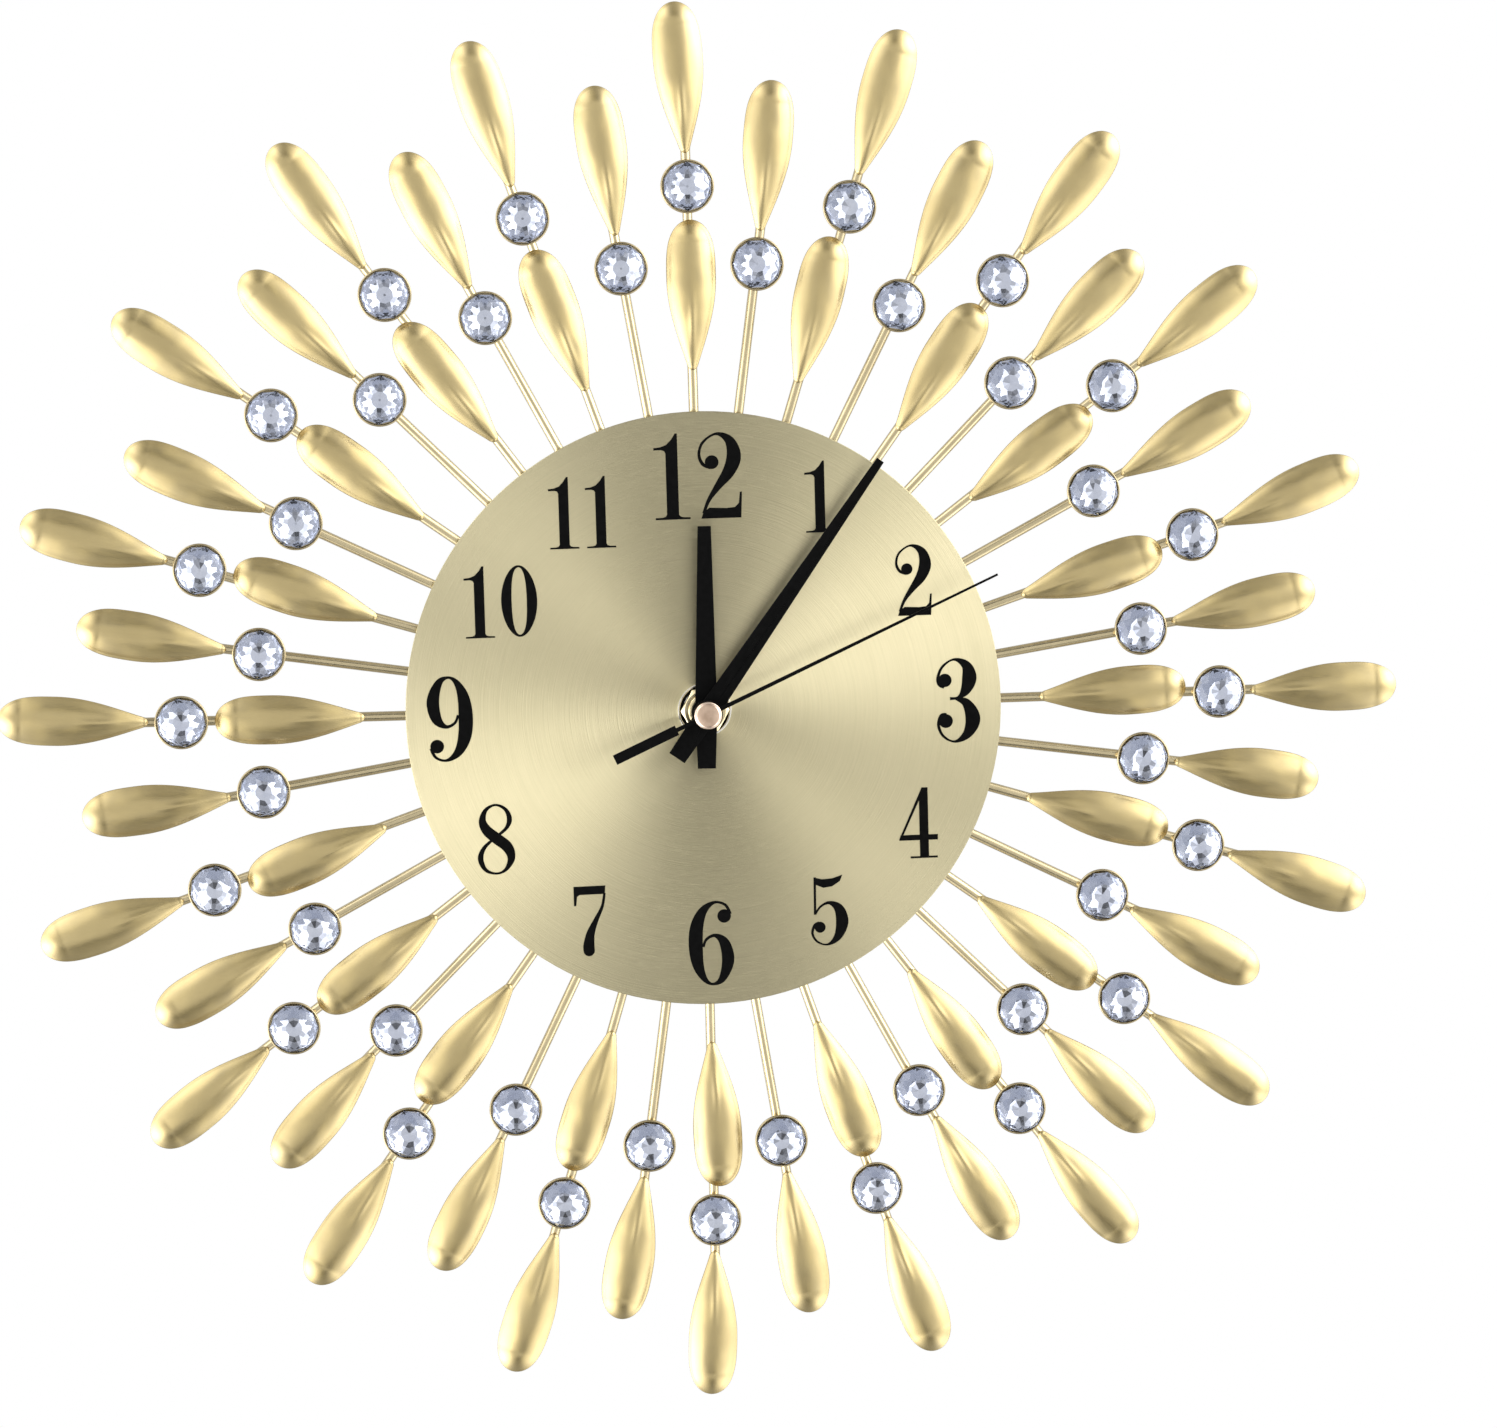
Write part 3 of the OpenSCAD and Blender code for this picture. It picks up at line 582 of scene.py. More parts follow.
def petal_shape():
    """A sheet domed over its middle line, with a rounded rim all the way round."""
    rows, half_columns, rim_steps = 60, 12, 5
    half_t = PETAL_T / 2
    steep = math.sin(math.radians(PETAL_EDGE_TILT))
    sides = petal_outline(rows)
    loops = []
    for k, (half_w, y) in enumerate(sides):
        low, high = sides[max(k - 1, 0)], sides[min(k + 1, rows)]
        run = (high[0] - low[0], high[1] - low[1])
        outward = (run[1] / math.hypot(*run), -run[0] / math.hypot(*run))
        if k in (0, rows):
            outward = (0.0, -1.0 if k == 0 else 1.0)
        middle_y = min(max(y, PETAL_END_HALF_W), PETAL_L - PETAL_ROUND_END)
        edge_x, edge_y = half_w - outward[0] * half_t, y - outward[1] * half_t
        edge_x = max(edge_x, 0.0)
        reach = math.hypot(edge_x, edge_y - middle_y)
        top, low_side, rim = [], [], []
        for i in range(half_columns + 1):
            share = i / half_columns
            drop = reach / steep * (1 - math.sqrt(1 - (share * steep) ** 2))
            place = (edge_x * share, middle_y + (edge_y - middle_y) * share)
            height = petal_crest(middle_y) - drop + petal_crease(*place)
            top.append((*place, height))
            low_side.append((*place, height - PETAL_T))
        for i in range(1, rim_steps):
            angle = math.pi * i / rim_steps
            out = half_t * math.sin(angle)
            down = half_t * (1 - math.cos(angle))
            rim.append((edge_x + outward[0] * out, edge_y + outward[1] * out, top[-1][2] - down))
        right = top + rim + low_side[::-1]
        left = [(-x, py, z) for x, py, z in right[::-1]]
        loops.append(right + left[1:-1])
    points = np.array([point for loop in loops for point in loop])
    return points, grid_faces(rows + 1, len(loops[0]))


def petals(name, node, first_turn):
    """One ring of petals, each leaning a little and with its own stretch of grain."""
    points, faces = petal_shape()
    shapes, uv = [], []
    for at, direction in petal_places(node, first_turn):
        lean = math.radians(random.uniform(-PETAL_LEAN, PETAL_LEAN))
        leaning = rolled(points, -lean, 0, 2)
        shapes.append((placed(leaning, at, direction, rod_front), faces))
        uv.append(points[:, :2] / 100 + random.uniform(0, 5))
    make_piece(name, joined(shapes), "gold_petal", [node], sharp=60, uv=np.concatenate(uv))


# Rods, cups and stones


def rod_shape(length):
    """A drawn rod along y with a rounded end, a touch uneven from straightening."""
    around, rows = 24, 40
    phase = random.uniform(0, 6)
    sway = random.uniform(0.02, 0.07)
    rings = []
    for k in range(rows + 1):
        r = ROD_R * (1 + 0.004 * math.sin(0.8 * k + phase))
        bend = sway * math.sin(math.pi * k / rows) * math.sin(phase)
        rings.append((length * k / rows, r, bend))
    for share, out in ((0.85, 0.35), (0.5, 0.55), (0.0, ROD_END)):
        rings.append((length + out, ROD_R * share, 0.0))
    points = [
        (r * math.cos(angle) + bend, y, r * math.sin(angle))
        for y, r, bend in rings
        for angle in steps_round(around)
    ]
    faces = grid_faces(len(rings), around)
    faces.append(tuple(range(around)))
    return np.array(points), faces


def rods(name, node, first_turn):
    """One ring of rods, each with its own slight bend."""
    shapes = []
    for start, direction, length in rod_places(node, first_turn):
        points, faces = rod_shape(length - ROD_END)
        shapes.append((placed(points, start, direction, rod_middle), faces))
    make_piece(name, joined(shapes), "gold_steel", [node])


def cup_shape():
    """A shallow drawn cup with a lip rolled in over the stone's girdle."""
    top_r, wall, height = STONE_R + CUP_LIP_W, 0.5, 2.1
    floor_r = top_r - 1.2
    lip = [
        (top_r - wall / 2 + wall / 2 * math.cos(a), height - wall / 2 + wall / 2 * math.sin(a))
        for a in np.radians(np.linspace(0, 180, 9))
    ]
    profile = [
        (0.01, 0.0), (floor_r - 0.3, 0.0), (floor_r, 0.08), (floor_r + 0.35, 0.35),
        (top_r - 0.12, height * 0.55), (top_r, height * 0.68), *lip,
        (top_r - wall, 0.8), (0.01, 0.8),
    ]
    return turned(profile, 64)


def cups(name, node, first_turn):
    """One ring of cups, with their floors against the rods."""
    points, faces = cup_shape()
    base = height_of(node, front=False)
    shapes = [
        (placed(points, at, direction, base), faces)
        for at, direction in round_places(node, first_turn)
    ]
    make_piece(name, joined(shapes), "gold_cup", [node])


def stone_shape():
    """A stone: two rows of foiled facets, a girdle, three rows of facets and a small table."""
    n = STONE_FACETS
    half_turn = math.pi / n
    # The radius, height and turn of each ring of corners
    rings = [
        (0.3, 0.05, 0),
        (STONE_R * 0.35, 0.29, half_turn),
        (STONE_R, 1.24, 0),
        (STONE_R, 1.75, 0),
        (STONE_R * 0.86, 2.45, half_turn),
        (STONE_R * 0.68, 3.1, 0),
        (STONE_R * 0.52, 3.5, half_turn),
    ]
    points = [
        (r * math.cos(angle + turn), r * math.sin(angle + turn), z)
        for r, z, turn in rings
        for angle in steps_round(n)
    ]
    faces = [tuple(range(n))[::-1]]
    for low in range(len(rings) - 1):
        low_turn, high_turn = rings[low][2], rings[low + 1][2]
        for i in range(n):
            a, b = low * n + i, low * n + (i + 1) % n
            c, d = a + n, b + n
            if low_turn == high_turn:
                faces.append((a, b, d, c))
            elif low_turn == 0:
                faces += [(a, b, c), (c, b, d)]
            else:
                faces += [(a, b, d), (a, d, c)]
    faces.append(tuple(range(len(points) - n, len(points))))
    return np.array(points), faces


def stones(name, node, first_turn):
    """One ring of stones, each turned its own way in its cup."""
    points, faces = stone_shape()
    base = height_of(node, front=False)
    shapes = []
    for at, direction in round_places(node, first_turn):
        own = rolled(points, random.uniform(0, 2 * math.pi), 0, 1)
        shapes.append((placed(own, at, direction, base), faces))
    materials = ["stone_glass", "stone_foil"]
    piece = make_piece(name, joined(shapes), "stone", [node], materials=materials, sharp=1)
    second_material(piece, lambda x, y, height: height < base + STONE_FOIL_TOP)


# Weld beads, which show from the side and from behind


def bead_shape():
    """A low rippled mound of weld metal, about 1 mm high."""
    rows, around = 6, 16
    points = []
    for k in range(rows + 1):
        lift = math.pi / 2 * k / rows
        for angle in steps_round(around):
            r = 1 + 0.08 * math.sin(3 * angle + k)
            points.append((
                1.1 * r * math.cos(lift) * math.cos(angle),
                1.9 * r * math.cos(lift) * math.sin(angle),
                0.9 * math.sin(lift) + 0.04 * math.sin(5 * angle) * math.cos(lift),
            ))
    faces = grid_faces(rows + 1, around)
    faces.append(tuple(range(around))[::-1])
    return np.array(points), faces


def weld_beads():
    """Beads on both sides of each rod, at two places on the hub."""
    points, faces = bead_shape()
    hub_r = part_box("hub_plate")[1].x / MM
    hub_front = height_of("hub_plate")
    shapes = []
    for node, first_turn in (("long_rods", LONG_FROM), ("short_rods", SHORT_FROM)):
        for _, direction, _ in rod_places(node, first_turn):
            side = np.array([direction[1], -direction[0]])
            for sign in (-1, 1):
                for reach in (hub_r - 1.6, hub_r - 9):
                    at = direction * reach + side * sign * ROD_R
                    jog = np.array([random.uniform(-0.3, 0.3), random.uniform(-0.3, 0.3)])
                    shapes.append((placed(points, at + jog, direction, hub_front - 0.1), faces))
    make_piece("weld_beads", joined(shapes), "gold_steel", sharp=80)


# Numbers on the dial


def curve(control, steps=8):
    """A smooth line through (x, y, width) points, as a Catmull-Rom spline."""
    c = [control[0], *control, control[-1]]
    c = [np.array(p, float) for p in c]
    line = []
    for k in range(1, len(c) - 2):
        before, a, b, after = c[k - 1], c[k], c[k + 1], c[k + 2]
        for i in range(steps):
            t = i / steps
            line.append(
                0.5 * (2 * a + (b - before) * t
                       + (2 * before - 5 * a + 4 * b - after) * t**2
                       + (3 * a - before - 3 * b + after) * t**3)
            )
    line.append(c[-2])
    return np.array(line)


def oval(x, y, rx, ry, thin, thick, steps=56):
    """A closed oval stroke, thick at its sides and thin at its top and bottom."""
    turn = np.linspace(0, 2 * math.pi, steps + 1)
    width = thin + (thick - thin) * np.sin(turn) ** 2
    return np.stack([x + rx * np.sin(turn), y + ry * np.cos(turn), width], axis=1)


def stroke_faces(line):
    """The quads that a pen of changing width covers along a line."""
    line = np.asarray(line, float)
    along = np.gradient(line[:, :2], axis=0)
    along /= np.linalg.norm(along, axis=1)[:, None]
    side = np.stack([-along[:, 1], along[:, 0]], axis=1) * line[:, 2:3] / 2
    left, right = line[:, :2] + side, line[:, :2] - side
    return [
        [left[i], left[i + 1], right[i + 1], right[i]] for i in range(len(line) - 1)
    ]


def dot(x, y, r, steps=28):
    """A round ball of ink, as a list of one face."""
    turn = np.linspace(0, 2 * math.pi, steps, endpoint=False)
    return [[(x + r * math.cos(a), y + r * math.sin(a)) for a in turn]]


def six():
    """The faces of a 6, which turned over is also the 9."""
    bowl = curve([
        (0.492, 0.84, 0.04), (0.437, 0.95, 0.032), (0.308, 0.985, 0.035), (0.174, 0.89, 0.10),
        (0.094, 0.70, 0.155), (0.077, 0.456, 0.165), (0.101, 0.238, 0.13), (0.174, 0.075, 0.065),
        (0.268, 0.017, 0.03), (0.378, 0.078, 0.085), (0.452, 0.29, 0.145), (0.415, 0.50, 0.12),
        (0.309, 0.592, 0.045), (0.205, 0.55, 0.032), (0.165, 0.46, 0.03),
    ])
    return stroke_faces(bowl) + dot(0.42, 0.82, 0.08)


def glyph(digit):
    """The faces of a digit one unit high, in a bold upright face with ball ends."""
    if digit == "0":
        return stroke_faces(oval(0.25, 0.5, 0.178, 0.485, 0.03, 0.145))
    if digit == "1":
        return [[
            (0.279, 1.0), (0.254, 1.0), (0.209, 0.93), (0.149, 0.87), (0.079, 0.845),
            (0.0, 0.837), (0.0, 0.81), (0.089, 0.812), (0.124, 0.80), (0.139, 0.77),
            (0.139, 0.06), (0.124, 0.035), (0.089, 0.025), (0.006, 0.022), (0.006, 0.0),
            (0.412, 0.0), (0.412, 0.022), (0.329, 0.025), (0.294, 0.035), (0.279, 0.06),
        ]]
    if digit == "2":
        hook = curve([
            (0.16, 0.59, 0.04), (0.066, 0.635, 0.04), (0.026, 0.75, 0.034), (0.077, 0.89, 0.03),
            (0.235, 0.982, 0.032), (0.383, 0.90, 0.11), (0.431, 0.72, 0.168), (0.37, 0.545, 0.145),
            (0.24, 0.375, 0.085), (0.128, 0.216, 0.045), (0.062, 0.06, 0.034),
        ])
        base = [
            (0.034, 0.0), (0.06, 0.075), (0.13, 0.125), (0.33, 0.115), (0.43, 0.125),
            (0.475, 0.17), (0.49, 0.30), (0.515, 0.30), (0.50, 0.0),
        ]
        return stroke_faces(hook) + dot(0.172, 0.654, 0.08) + [base]
    if digit == "3":
        upper = curve([
            (0.10, 0.665, 0.04), (0.045, 0.69, 0.04), (0.025, 0.77, 0.034), (0.085, 0.905, 0.03),
            (0.223, 0.984, 0.03), (0.36, 0.912, 0.11), (0.397, 0.765, 0.17), (0.35, 0.62, 0.12),
            (0.266, 0.535, 0.038), (0.163, 0.524, 0.036),
        ])
        lower = curve([
            (0.235, 0.524, 0.034), (0.36, 0.46, 0.11), (0.428, 0.279, 0.175), (0.36, 0.105, 0.11),
            (0.215, 0.017, 0.03), (0.08, 0.08, 0.03), (0.022, 0.21, 0.036), (0.055, 0.325, 0.04),
            (0.12, 0.338, 0.04),
        ])
        balls = dot(0.108, 0.741, 0.079) + dot(0.109, 0.262, 0.082)
        return stroke_faces(upper) + stroke_faces(lower) + balls
    if digit == "4":
        return [
            [(0.289, 0.02), (0.415, 0.02), (0.415, 1.0), (0.331, 1.0), (0.289, 0.87)],
            [(0.331, 1.0), (0.375, 1.0), (0.045, 0.30), (0.0, 0.264), (0.0, 0.275)],
            [(0.0, 0.255), (0.546, 0.255), (0.546, 0.332), (0.02, 0.332)],
            [(0.153, 0.0), (0.538, 0.0), (0.538, 0.028), (0.153, 0.028)],
        ]
    if digit == "5":
        flag = [
            (0.058, 0.975), (0.18, 0.945), (0.323, 0.954), (0.466, 1.0), (0.428, 0.912),
            (0.318, 0.84), (0.194, 0.823), (0.085, 0.87),
        ]
        stem = [(0.058, 0.975), (0.05, 0.44), (0.085, 0.46), (0.092, 0.975)]
        bowl = curve([
            (0.067, 0.45, 0.03), (0.15, 0.56, 0.03), (0.276, 0.608, 0.05), (0.405, 0.52, 0.135),
            (0.447, 0.33, 0.175), (0.38, 0.125, 0.11), (0.237, 0.017, 0.03), (0.09, 0.062, 0.03),
            (0.024, 0.177, 0.036), (0.055, 0.29, 0.04), (0.12, 0.33, 0.04),
        ])
        return [flag, stem] + stroke_faces(bowl) + dot(0.133, 0.265, 0.078)
    if digit == "6":
        return six()
    if digit == "7":
        bar = [
            (0.018, 0.99), (0.018, 0.717), (0.05, 0.717), (0.065, 0.845), (0.10, 0.872),
            (0.455, 0.876), (0.466, 0.995),
        ]
        stem = curve([
            (0.45, 0.89, 0.035), (0.413, 0.70, 0.042), (0.318, 0.505, 0.07), (0.241, 0.3286, 0.115),
            (0.21, 0.16, 0.155), (0.211, 0.081, 0.16),
        ])
        return [bar] + stroke_faces(stem) + dot(0.211, 0.081, 0.08)
    if digit == "8":
        around = [
            (0.267, 0.982, 0.032), (0.13, 0.915, 0.055), (0.079, 0.765, 0.10), (0.135, 0.63, 0.14),
            (0.268, 0.51, 0.155), (0.415, 0.385, 0.15), (0.465, 0.225, 0.105), (0.383, 0.067, 0.048),
            (0.25, 0.016, 0.03), (0.105, 0.07, 0.05), (0.037, 0.225, 0.078), (0.09, 0.38, 0.055),
            (0.245, 0.52, 0.034), (0.403, 0.645, 0.048), (0.456, 0.775, 0.072), (0.405, 0.915, 0.05),
        ]
        closed = curve([around[-1], *around, around[0], around[1]])[8:-8]
        return stroke_faces(closed)
    return [[(0.535 - x, 1 - y) for x, y in face] for face in six()]


def glyph_sides(faces):
    """How far left and right a digit's faces reach."""
    xs = [x for face in faces for x, _ in face]
    return min(xs), max(xs)


def number_faces(text):
    """The faces of a whole number, centred on its own middle, one unit high."""
    faces, pen = [], 0.0
    for digit in text:
        outline = glyph(digit)
        left, right = glyph_sides(outline)
        faces += [[(x - left + pen, y) for x, y in face] for face in outline]
        pen += right - left + GLYPH_GAP
    width = pen - GLYPH_GAP
    return [[(x - width / 2, y - 0.5) for x, y in face] for face in faces], width


def area(face):
    """Twice the area of a flat face, negative when its points run clockwise."""
    return sum(ax * by - bx * ay for (ax, ay), (bx, by) in zip(face, [*face[1:], face[0]]))


def solid_print(faces, low, high):
    """Overlapping flat faces merged into one solid between two heights."""
    faces = [face if area(face) > 0 else face[::-1] for face in faces]
    flat = [Vector(p) for face in faces for p in face]
    index, start = [], 0
    for face in faces:
        index.append(list(range(start, start + len(face))))
        start += len(face)
    merged = delaunay_2d_cdt(flat, [], index, 1, 1e-5)
    points, triangles, sources = merged[0], merged[2], merged[5]
    inked = [t for t, source in zip(triangles, sources) if source]
    edges = dict.fromkeys((a, b) for t in inked for a, b in zip(t, [*t[1:], t[0]]))
    rim = [(a, b) for a, b in edges if (b, a) not in edges]
    count = len(points)
    solid = [(p.x, p.y, high) for p in points] + [(p.x, p.y, low) for p in points]
    walls = [(b, a, a + count, b + count) for a, b in rim]
    backs = [tuple(i + count for i in reversed(t)) for t in inked]
    return np.array(solid), [tuple(t) for t in inked] + backs + walls


def numbers():
    """All twelve numbers, each with its outer corner on one circle."""
    face_height = height_of("dial_plate")
    shapes = []
    for hour in range(1, 13):
        tall = TALL_NUMBER if hour % 3 == 0 else SMALL_NUMBER
        faces, width = number_faces(str(hour))
        half_w, half_h = width * tall / 2, tall / 2
        turn = math.radians(30 * hour)
        sx, sy = math.sin(turn), math.cos(turn)
        half_along = abs(sx) * half_w + abs(sy) * half_h
        squares = half_along**2 - half_w**2 - half_h**2 + NUMBERS_WITHIN_R**2
        reach = math.sqrt(squares) - half_along
        inked = [
            [(sx * reach + x * tall, sy * reach + y * tall) for x, y in face] for face in faces
        ]
        shapes.append(solid_print(inked, face_height - 0.01, face_height + NUMBER_T))
    make_piece("dial_numbers", joined(shapes), "black_paint")


# The middle of the dial


def cap():
    """The cap on the second hand: a glossy rim round a turned dish, one copper painted lighter on the
    rim as a painted highlight and darker in the dish as painted shade.
    """
    low, high = height_of("hand_cap", front=False), height_of("hand_cap")
    rim_r, round_r, dish_r, disc_low = 3.2, 0.26, 2.62, height_of("second_hand")
    rim = [
        (rim_r - round_r + round_r * math.cos(a), high - round_r + round_r * math.sin(a))
        for a in np.radians(np.linspace(0, 160, 10))
    ]
    dish = [(r, high - 0.42 + 0.2 * (r / 2.6) ** 3) for r in (dish_r, 2.4, 2.0, 1.5, 1.0, 0.5, 0.01)]
    inner = [(0.01, disc_low), (0.52, disc_low), (0.52, low)]
    outer = [(1.1, low), (1.1, disc_low), (rim_r - 0.05, disc_low), (rim_r, disc_low + 0.08)]
    profile = [*outer, *rim, *dish, *inner]
    piece = make_piece(
        "cap_on_hands", turned(profile), "copper_cap", ["hand_cap"], "seconds_arbor",
        ["copper_cap", "copper_dish_painted_shade"],
    )
    # The dish's faces take the darker copy of the copper, which is painted shade; the rest keeps the
    # lighter copy, which is painted highlight.
    second_material(
        piece, lambda x, y, height: math.hypot(x, y) < dish_r and height > disc_low + 0.3
    )


def washer():
    """A washer with a polished rim round a groove whose faces are painted black as painted shade."""
    low, high = height_of("brass_washer", front=False), height_of("brass_washer")
    outer_r, bore_r, rim_w, groove_w = 6.35, 4.05, 0.55, 0.75
    groove_out, groove_in = outer_r - rim_w, outer_r - rim_w - groove_w
    profile = [
        (bore_r, low), (outer_r - 0.05, low), (outer_r, low + 0.08), (outer_r, high - 0.16),
        (outer_r - 0.06, high - 0.04), (outer_r - 0.16, high), (groove_out + 0.12, high),
        (groove_out + 0.03, high - 0.05), (groove_out, high - 0.3), (groove_in, high - 0.3),
        (groove_in - 0.03, high - 0.05), (groove_in - 0.1, high), (bore_r, high),
    ]
    # Its second material, black paint, is painted shade in the groove round the nut.
    piece = make_piece(
        "washer_under_nut", turned(profile), "brass", ["brass_washer"],
        materials=["nickel", "black_paint"],
    )

    # The groove's faces take the black paint: a painted shade round the nut.
    def in_groove(x, y, height):
        across = groove_in - 0.01 < math.hypot(x, y) < groove_out + 0.01
        return across and low + 0.1 < height < high - 0.1

    second_material(piece, in_groove)


def nut():
    """A hexagonal nut whose corners are turned down to a round face."""
    low, high = height_of("hex_nut", front=False), height_of("hex_nut")
    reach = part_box("hex_nut")[1]
    flat_r = min(reach.x, reach.z) / MM
    bore_r, face_r = 3.6, flat_r * 0.96
    first_flat = 0 if reach.x < reach.z else math.pi / 6

    def hexagonal(r, z, angle):
        if r < face_r - 0.01:
            return r
        from_flat = (angle - first_flat + math.pi / 6) % (math.pi / 3) - math.pi / 6
        side = flat_r / math.cos(from_flat)
        slope = min(z - low, high - z) / math.tan(math.radians(30)) + face_r
        return min(side - 0.02, slope)

    edge = [(flat_r, z) for z in np.linspace(low, high, 17)]
    profile = [
        (bore_r, low), *edge, (face_r * 0.97, high), (bore_r + 0.5, high), (bore_r, high - 0.3),
    ]
    make_piece("nut_on_bush", turned(profile, 144, hexagonal), "brass", ["hex_nut"], sharp=25)


def bush():
    """The threaded bush, with a real helical thread in front of the dial."""
    pitch, depth, bush_r, bore_r = 0.75, 0.35, 4.0, 2.58
    top, low = height_of("threaded_bush"), height_of("threaded_bush", front=False)
    plain_top = height_of("dial_plate")
    flange_top = height_of("front_case") - 1.5

    def threaded(r, z, angle):
        if z <= plain_top or r < bush_r - 0.01:
            return r
        share = (z / pitch - angle / (2 * math.pi)) % 1.0
        fade = min(1.0, (z - plain_top) / pitch)
        return r - depth * fade * (1 - abs(2 * share - 1))

    rows = np.linspace(plain_top, top - 0.15, 44)
    profile = [
        (bore_r, low), (5.5, low), (5.6, low + 0.1), (5.6, flange_top - 0.05),
        (5.55, flange_top), (bush_r, flange_top), *[(bush_r, z) for z in rows],
        (bush_r - depth - 0.05, top), (bore_r + 0.1, top), (bore_r, top - 0.1),
    ]
    make_piece(
        "bush_with_thread", turned(profile, 72, threaded), "brass", ["threaded_bush"], sharp=50
    )


# The back


def battery():
    """A cell with rolled shoulders, a sleeve that stops short of both ends, and its cap."""
    low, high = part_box("battery")
    r = (high.z - low.z) / 2 / MM
    start, end = low.x / MM, high.x / MM
    can_end = end - 0.8
    sleeve_from = 0.62
    # How far in from the sleeve, and how far from the end
    shoulder = [(0.9, 0.0), (0.45, 0.12), (0.12, 0.6), (0.02, sleeve_from), (0.0, 0.75)]
    profile = [(0.01, start + 0.15), (r - 1.6, start + 0.15), (r - 1.3, start)]
    profile += [(r - inset, start + along) for inset, along in shoulder]
    profile += [(r - inset, can_end - along) for inset, along in reversed(shoulder)]
    profile += [(r - 1.3, can_end - 0.05), (r - 1.8, can_end - 0.2), (2.9, can_end - 0.2)]
    profile += [(2.75, can_end), (2.75, end - 0.25), (2.5, end), (0.01, end)]
    points, faces = turned(profile, 72)
    middle_y = (low.z + high.z) / 2 / MM
    middle_height = -(low.y + high.y) / 2 / MM
    lying = np.stack([
        points[:, 2], points[:, 0] + middle_y, points[:, 1] + middle_height
    ], axis=1)
    battery_finish((low.x + high.x) / 2)
    piece = make_piece(
        "battery_cell_aa", (lying, faces), "battery_jacket", ["battery"], "battery_cell",
        ["battery_jacket", "tinned_steel"],
    )
    second_material(
        piece, lambda x, y, height: x < start + sleeve_from or x > can_end - sleeve_from
    )


def flat_marks(bars, low, high):
    """Flat bars between two heights, each given by its two ends and its width."""
    shapes = []
    for (ax, ay), (bx, by), width in bars:
        length = math.hypot(bx - ax, by - ay)
        ux, uy = (bx - ax) / length, (by - ay) / length
        nx, ny = -uy * width / 2, ux * width / 2
        corners = [(ax - nx, ay - ny), (bx - nx, by - ny), (bx + nx, by + ny), (ax + nx, ay + ny)]
        points = [(x, y, low) for x, y in corners] + [(x, y, high) for x, y in corners]
        faces = [(0, 1, 2, 3), (7, 6, 5, 4)]
        faces += [(i, (i + 1) % 4, (i + 1) % 4 + 4, i + 4) for i in range(4)]
        shapes.append((np.array(points), faces))
    return shapes


def back_signs():
    """Moulded signs on the cover: plus and minus by the battery, arrows by the knob."""
    back = height_of("rear_cover", front=False)
    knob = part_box("time_set_knob")
    knob_x = (knob[0].x + knob[1].x) / 2 / MM
    knob_y = (knob[0].z + knob[1].z) / 2 / MM
    row_y = -7.0
    arrow_r, arrow_steps = 8.6, 14
    bars = [
        ((18.0, row_y), (22.0, row_y), 0.8),
        ((20.0, row_y - 2), (20.0, row_y + 2), 0.8),
        ((-22.0, row_y), (-18.0, row_y), 0.8),
    ]
    for side in (0, 180):
        turns = np.radians(np.linspace(side + 25, side + 145, arrow_steps))
        ring = [(knob_x + arrow_r * math.cos(a), knob_y + arrow_r * math.sin(a)) for a in turns]
        bars += [(a, b, 0.6) for a, b in zip(ring, ring[1:])]
        tip = ring[-1]
        for turn in (turns[-1] - math.radians(50), turns[-1] - math.radians(130)):
            barb = (tip[0] + 2.0 * math.cos(turn), tip[1] + 2.0 * math.sin(turn))
            bars.append((tip, barb, 0.6))
    marks = flat_marks(bars, back - 0.12, back + 0.05)
    make_piece("moulded_signs", joined(marks), "black_plastic")


# The clock

rod_front = height_of("long_rods")
rod_middle = (rod_front + height_of("long_rods", front=False)) / 2

petals("petals_outer", "outer_petals", LONG_FROM)
petals("petals_inner", "inner_petals", LONG_FROM)
petals("petals_short", "short_petals", SHORT_FROM)
rods("rods_long", "long_rods", LONG_FROM)
rods("rods_short", "short_rods", SHORT_FROM)
cups("cups_long", "long_cups", LONG_FROM)
cups("cups_short", "short_cups", SHORT_FROM)
stones("stones_long", "long_stones", LONG_FROM)
stones("stones_short", "short_stones", SHORT_FROM)
weld_beads()
numbers()
cap()
washer()
nut()
bush()
battery()
back_signs()

dress("dial_plate", "dial_aluminium", 0.15)
dress("dial_backing", "fibreboard", 0.2)
dress("hub_plate", "gold_steel", 0.2)
dress("hanger", "zinc_steel", 0.15)
dress("rubber_washer", "rubber", 0.15)
dress("front_case", "black_plastic", 0.4)
dress("rear_cover", "black_plastic", 0.25)
dress("time_set_knob", "black_plastic", 0.1)
dress("hour_hand", "black_paint", 0.08)
dress("minute_hand", "black_paint", 0.08)
dress("second_hand", "black_paint", 0.06)
dress("circuit_board", "green_board")
dress("chip_cover", "black_resin")
dress("coil_winding", "copper_wire")
dress("rotor_magnet", "magnet")
for part in ("timing_crystal", "coil_core", "stator", "positive_contact", "negative_contact"):
    dress(part, "tinned_steel")
for part in (
    "train_bridge", "coil_bobbin", "rotor_pinion", "intermediate_wheel", "seconds_wheel",
    "third_wheel", "centre_wheel", "minute_pipe", "motion_wheel", "hour_wheel",
):
    dress(part, "white_plastic")


# Floor, light and camera


def floor():
    """A pale round floor below the clock."""
    bpy.ops.mesh.primitive_circle_add(
        vertices=96, radius=0.75, fill_type="NGON", location=(0, -0.25, -0.36)
    )
    disc = bpy.context.object
    disc.name = "floor"
    look = Look("floor", Roughness=0.9)
    look.paint(look.tones(look.noise(3.0, 2.0), (0.80, 0.80, 0.80), (0.84, 0.84, 0.84)))
    disc.data.materials.append(MATERIALS["floor"])
    disc.visible_glossy = False
    disc.visible_transmission = False


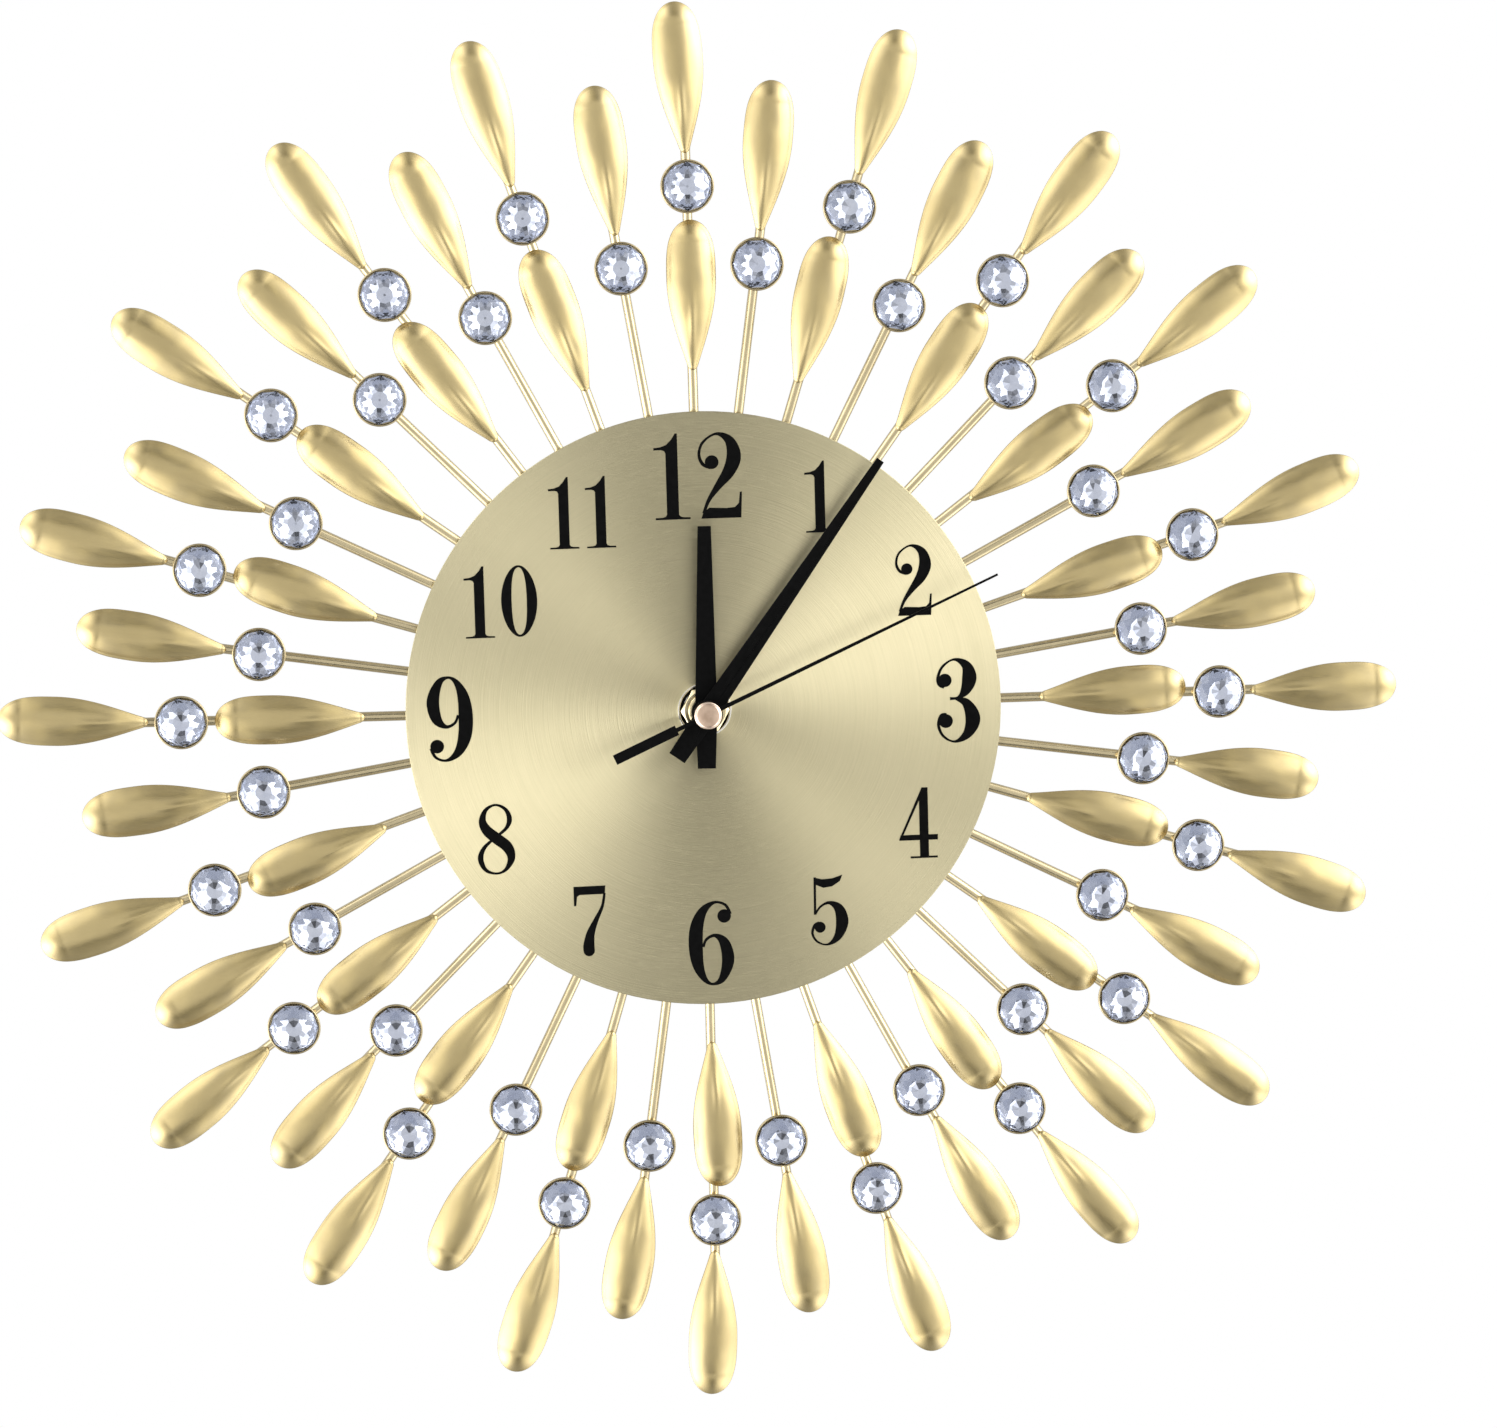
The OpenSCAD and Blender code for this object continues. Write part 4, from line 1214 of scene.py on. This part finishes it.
def studio():
    """A white studio: soft light from the sides, and a darker room behind the camera."""
    world = bpy.data.worlds.new("studio")
    bpy.context.scene.world = world
    world.use_nodes = True
    room = Nodes(world.node_tree)
    x, y, z = room.split("Generated")
    around = room.maths("ARCTAN2", x, z)
    tilt = room.maths("ARCCOSINE", room.maths("MULTIPLY", y, -1.0))
    tilt = room.maths("DIVIDE", tilt, math.pi)

    def facing_pair(degrees, narrowness, strength):
        """Two softboxes that face each other across the clock, this far round from the top."""
        aim = room.maths("COSINE", room.maths("SUBTRACT", around, math.radians(degrees)))
        lobe = room.maths("POWER", room.maths("ABSOLUTE", aim), narrowness)
        return room.maths("MULTIPLY", lobe, strength)

    def brightness(stops):
        """Brightness by tilt, which is 0 straight behind the camera and 1 behind the wall."""
        return room.ramp(tilt, [(position, (value,) * 3) for position, value in stops])

    key = facing_pair(67, 6.0, 1.0)
    fill = facing_pair(134, 14.0, 0.5)
    softbox = room.maths("MINIMUM", room.maths("ADD", key, fill), 1.0)
    dim = brightness([
        (0.0, 0.015), (0.03, 0.13), (0.17, 0.14), (0.18, 0.006), (0.26, 0.006), (0.27, 0.045),
        (0.5, 0.07), (1.0, 0.11),
    ])
    bright = brightness([
        (0.0, 0.015), (0.03, 0.13), (0.17, 0.15), (0.22, 0.46), (0.34, 0.75), (0.42, 1.0),
        (0.5, 1.0), (0.6, 0.16), (1.0, 0.11),
    ])
    glow = room.mix(softbox, dim, bright)
    light = room.add("ShaderNodeBackground", {"Color": glow, "Strength": 6.0})
    white = room.add("ShaderNodeBackground", {"Color": (1, 1, 1, 1)})
    seen = room.add("ShaderNodeLightPath").outputs["Is Camera Ray"]
    sockets = {0: seen, 1: light.outputs["Background"], 2: white.outputs["Background"]}
    choice = room.add("ShaderNodeMixShader", sockets)
    room.add("ShaderNodeOutputWorld", {"Surface": choice.outputs["Shader"]})


def camera():
    """Looks at the clock from the photographer's place."""
    left, above = math.radians(CAMERA_LEFT), math.radians(CAMERA_ABOVE)
    back = Vector((
        -math.sin(left) * math.cos(above), -math.cos(left) * math.cos(above), math.sin(above)
    ))
    right = (-back).cross(Vector((0, 0, 1))).normalized()
    up = back.cross(right)
    roll = math.radians(CAMERA_ROLL)
    right, up = (
        right * math.cos(roll) - up * math.sin(roll), up * math.cos(roll) + right * math.sin(roll)
    )
    data = bpy.data.cameras.new("camera")
    data.lens = CAMERA_LENS
    data.sensor_width = 36
    data.clip_start, data.clip_end = 0.05, 50
    view = bpy.data.objects.new("camera", data)
    bpy.context.scene.collection.objects.link(view)
    place = Matrix((right, up, back)).transposed().to_4x4()
    place.translation = Vector(CAMERA_AIM) + back * CAMERA_AWAY
    view.matrix_world = place
    bpy.context.scene.camera = view


floor()
studio()
camera()
bpy.context.scene.view_settings.view_transform = "Standard"
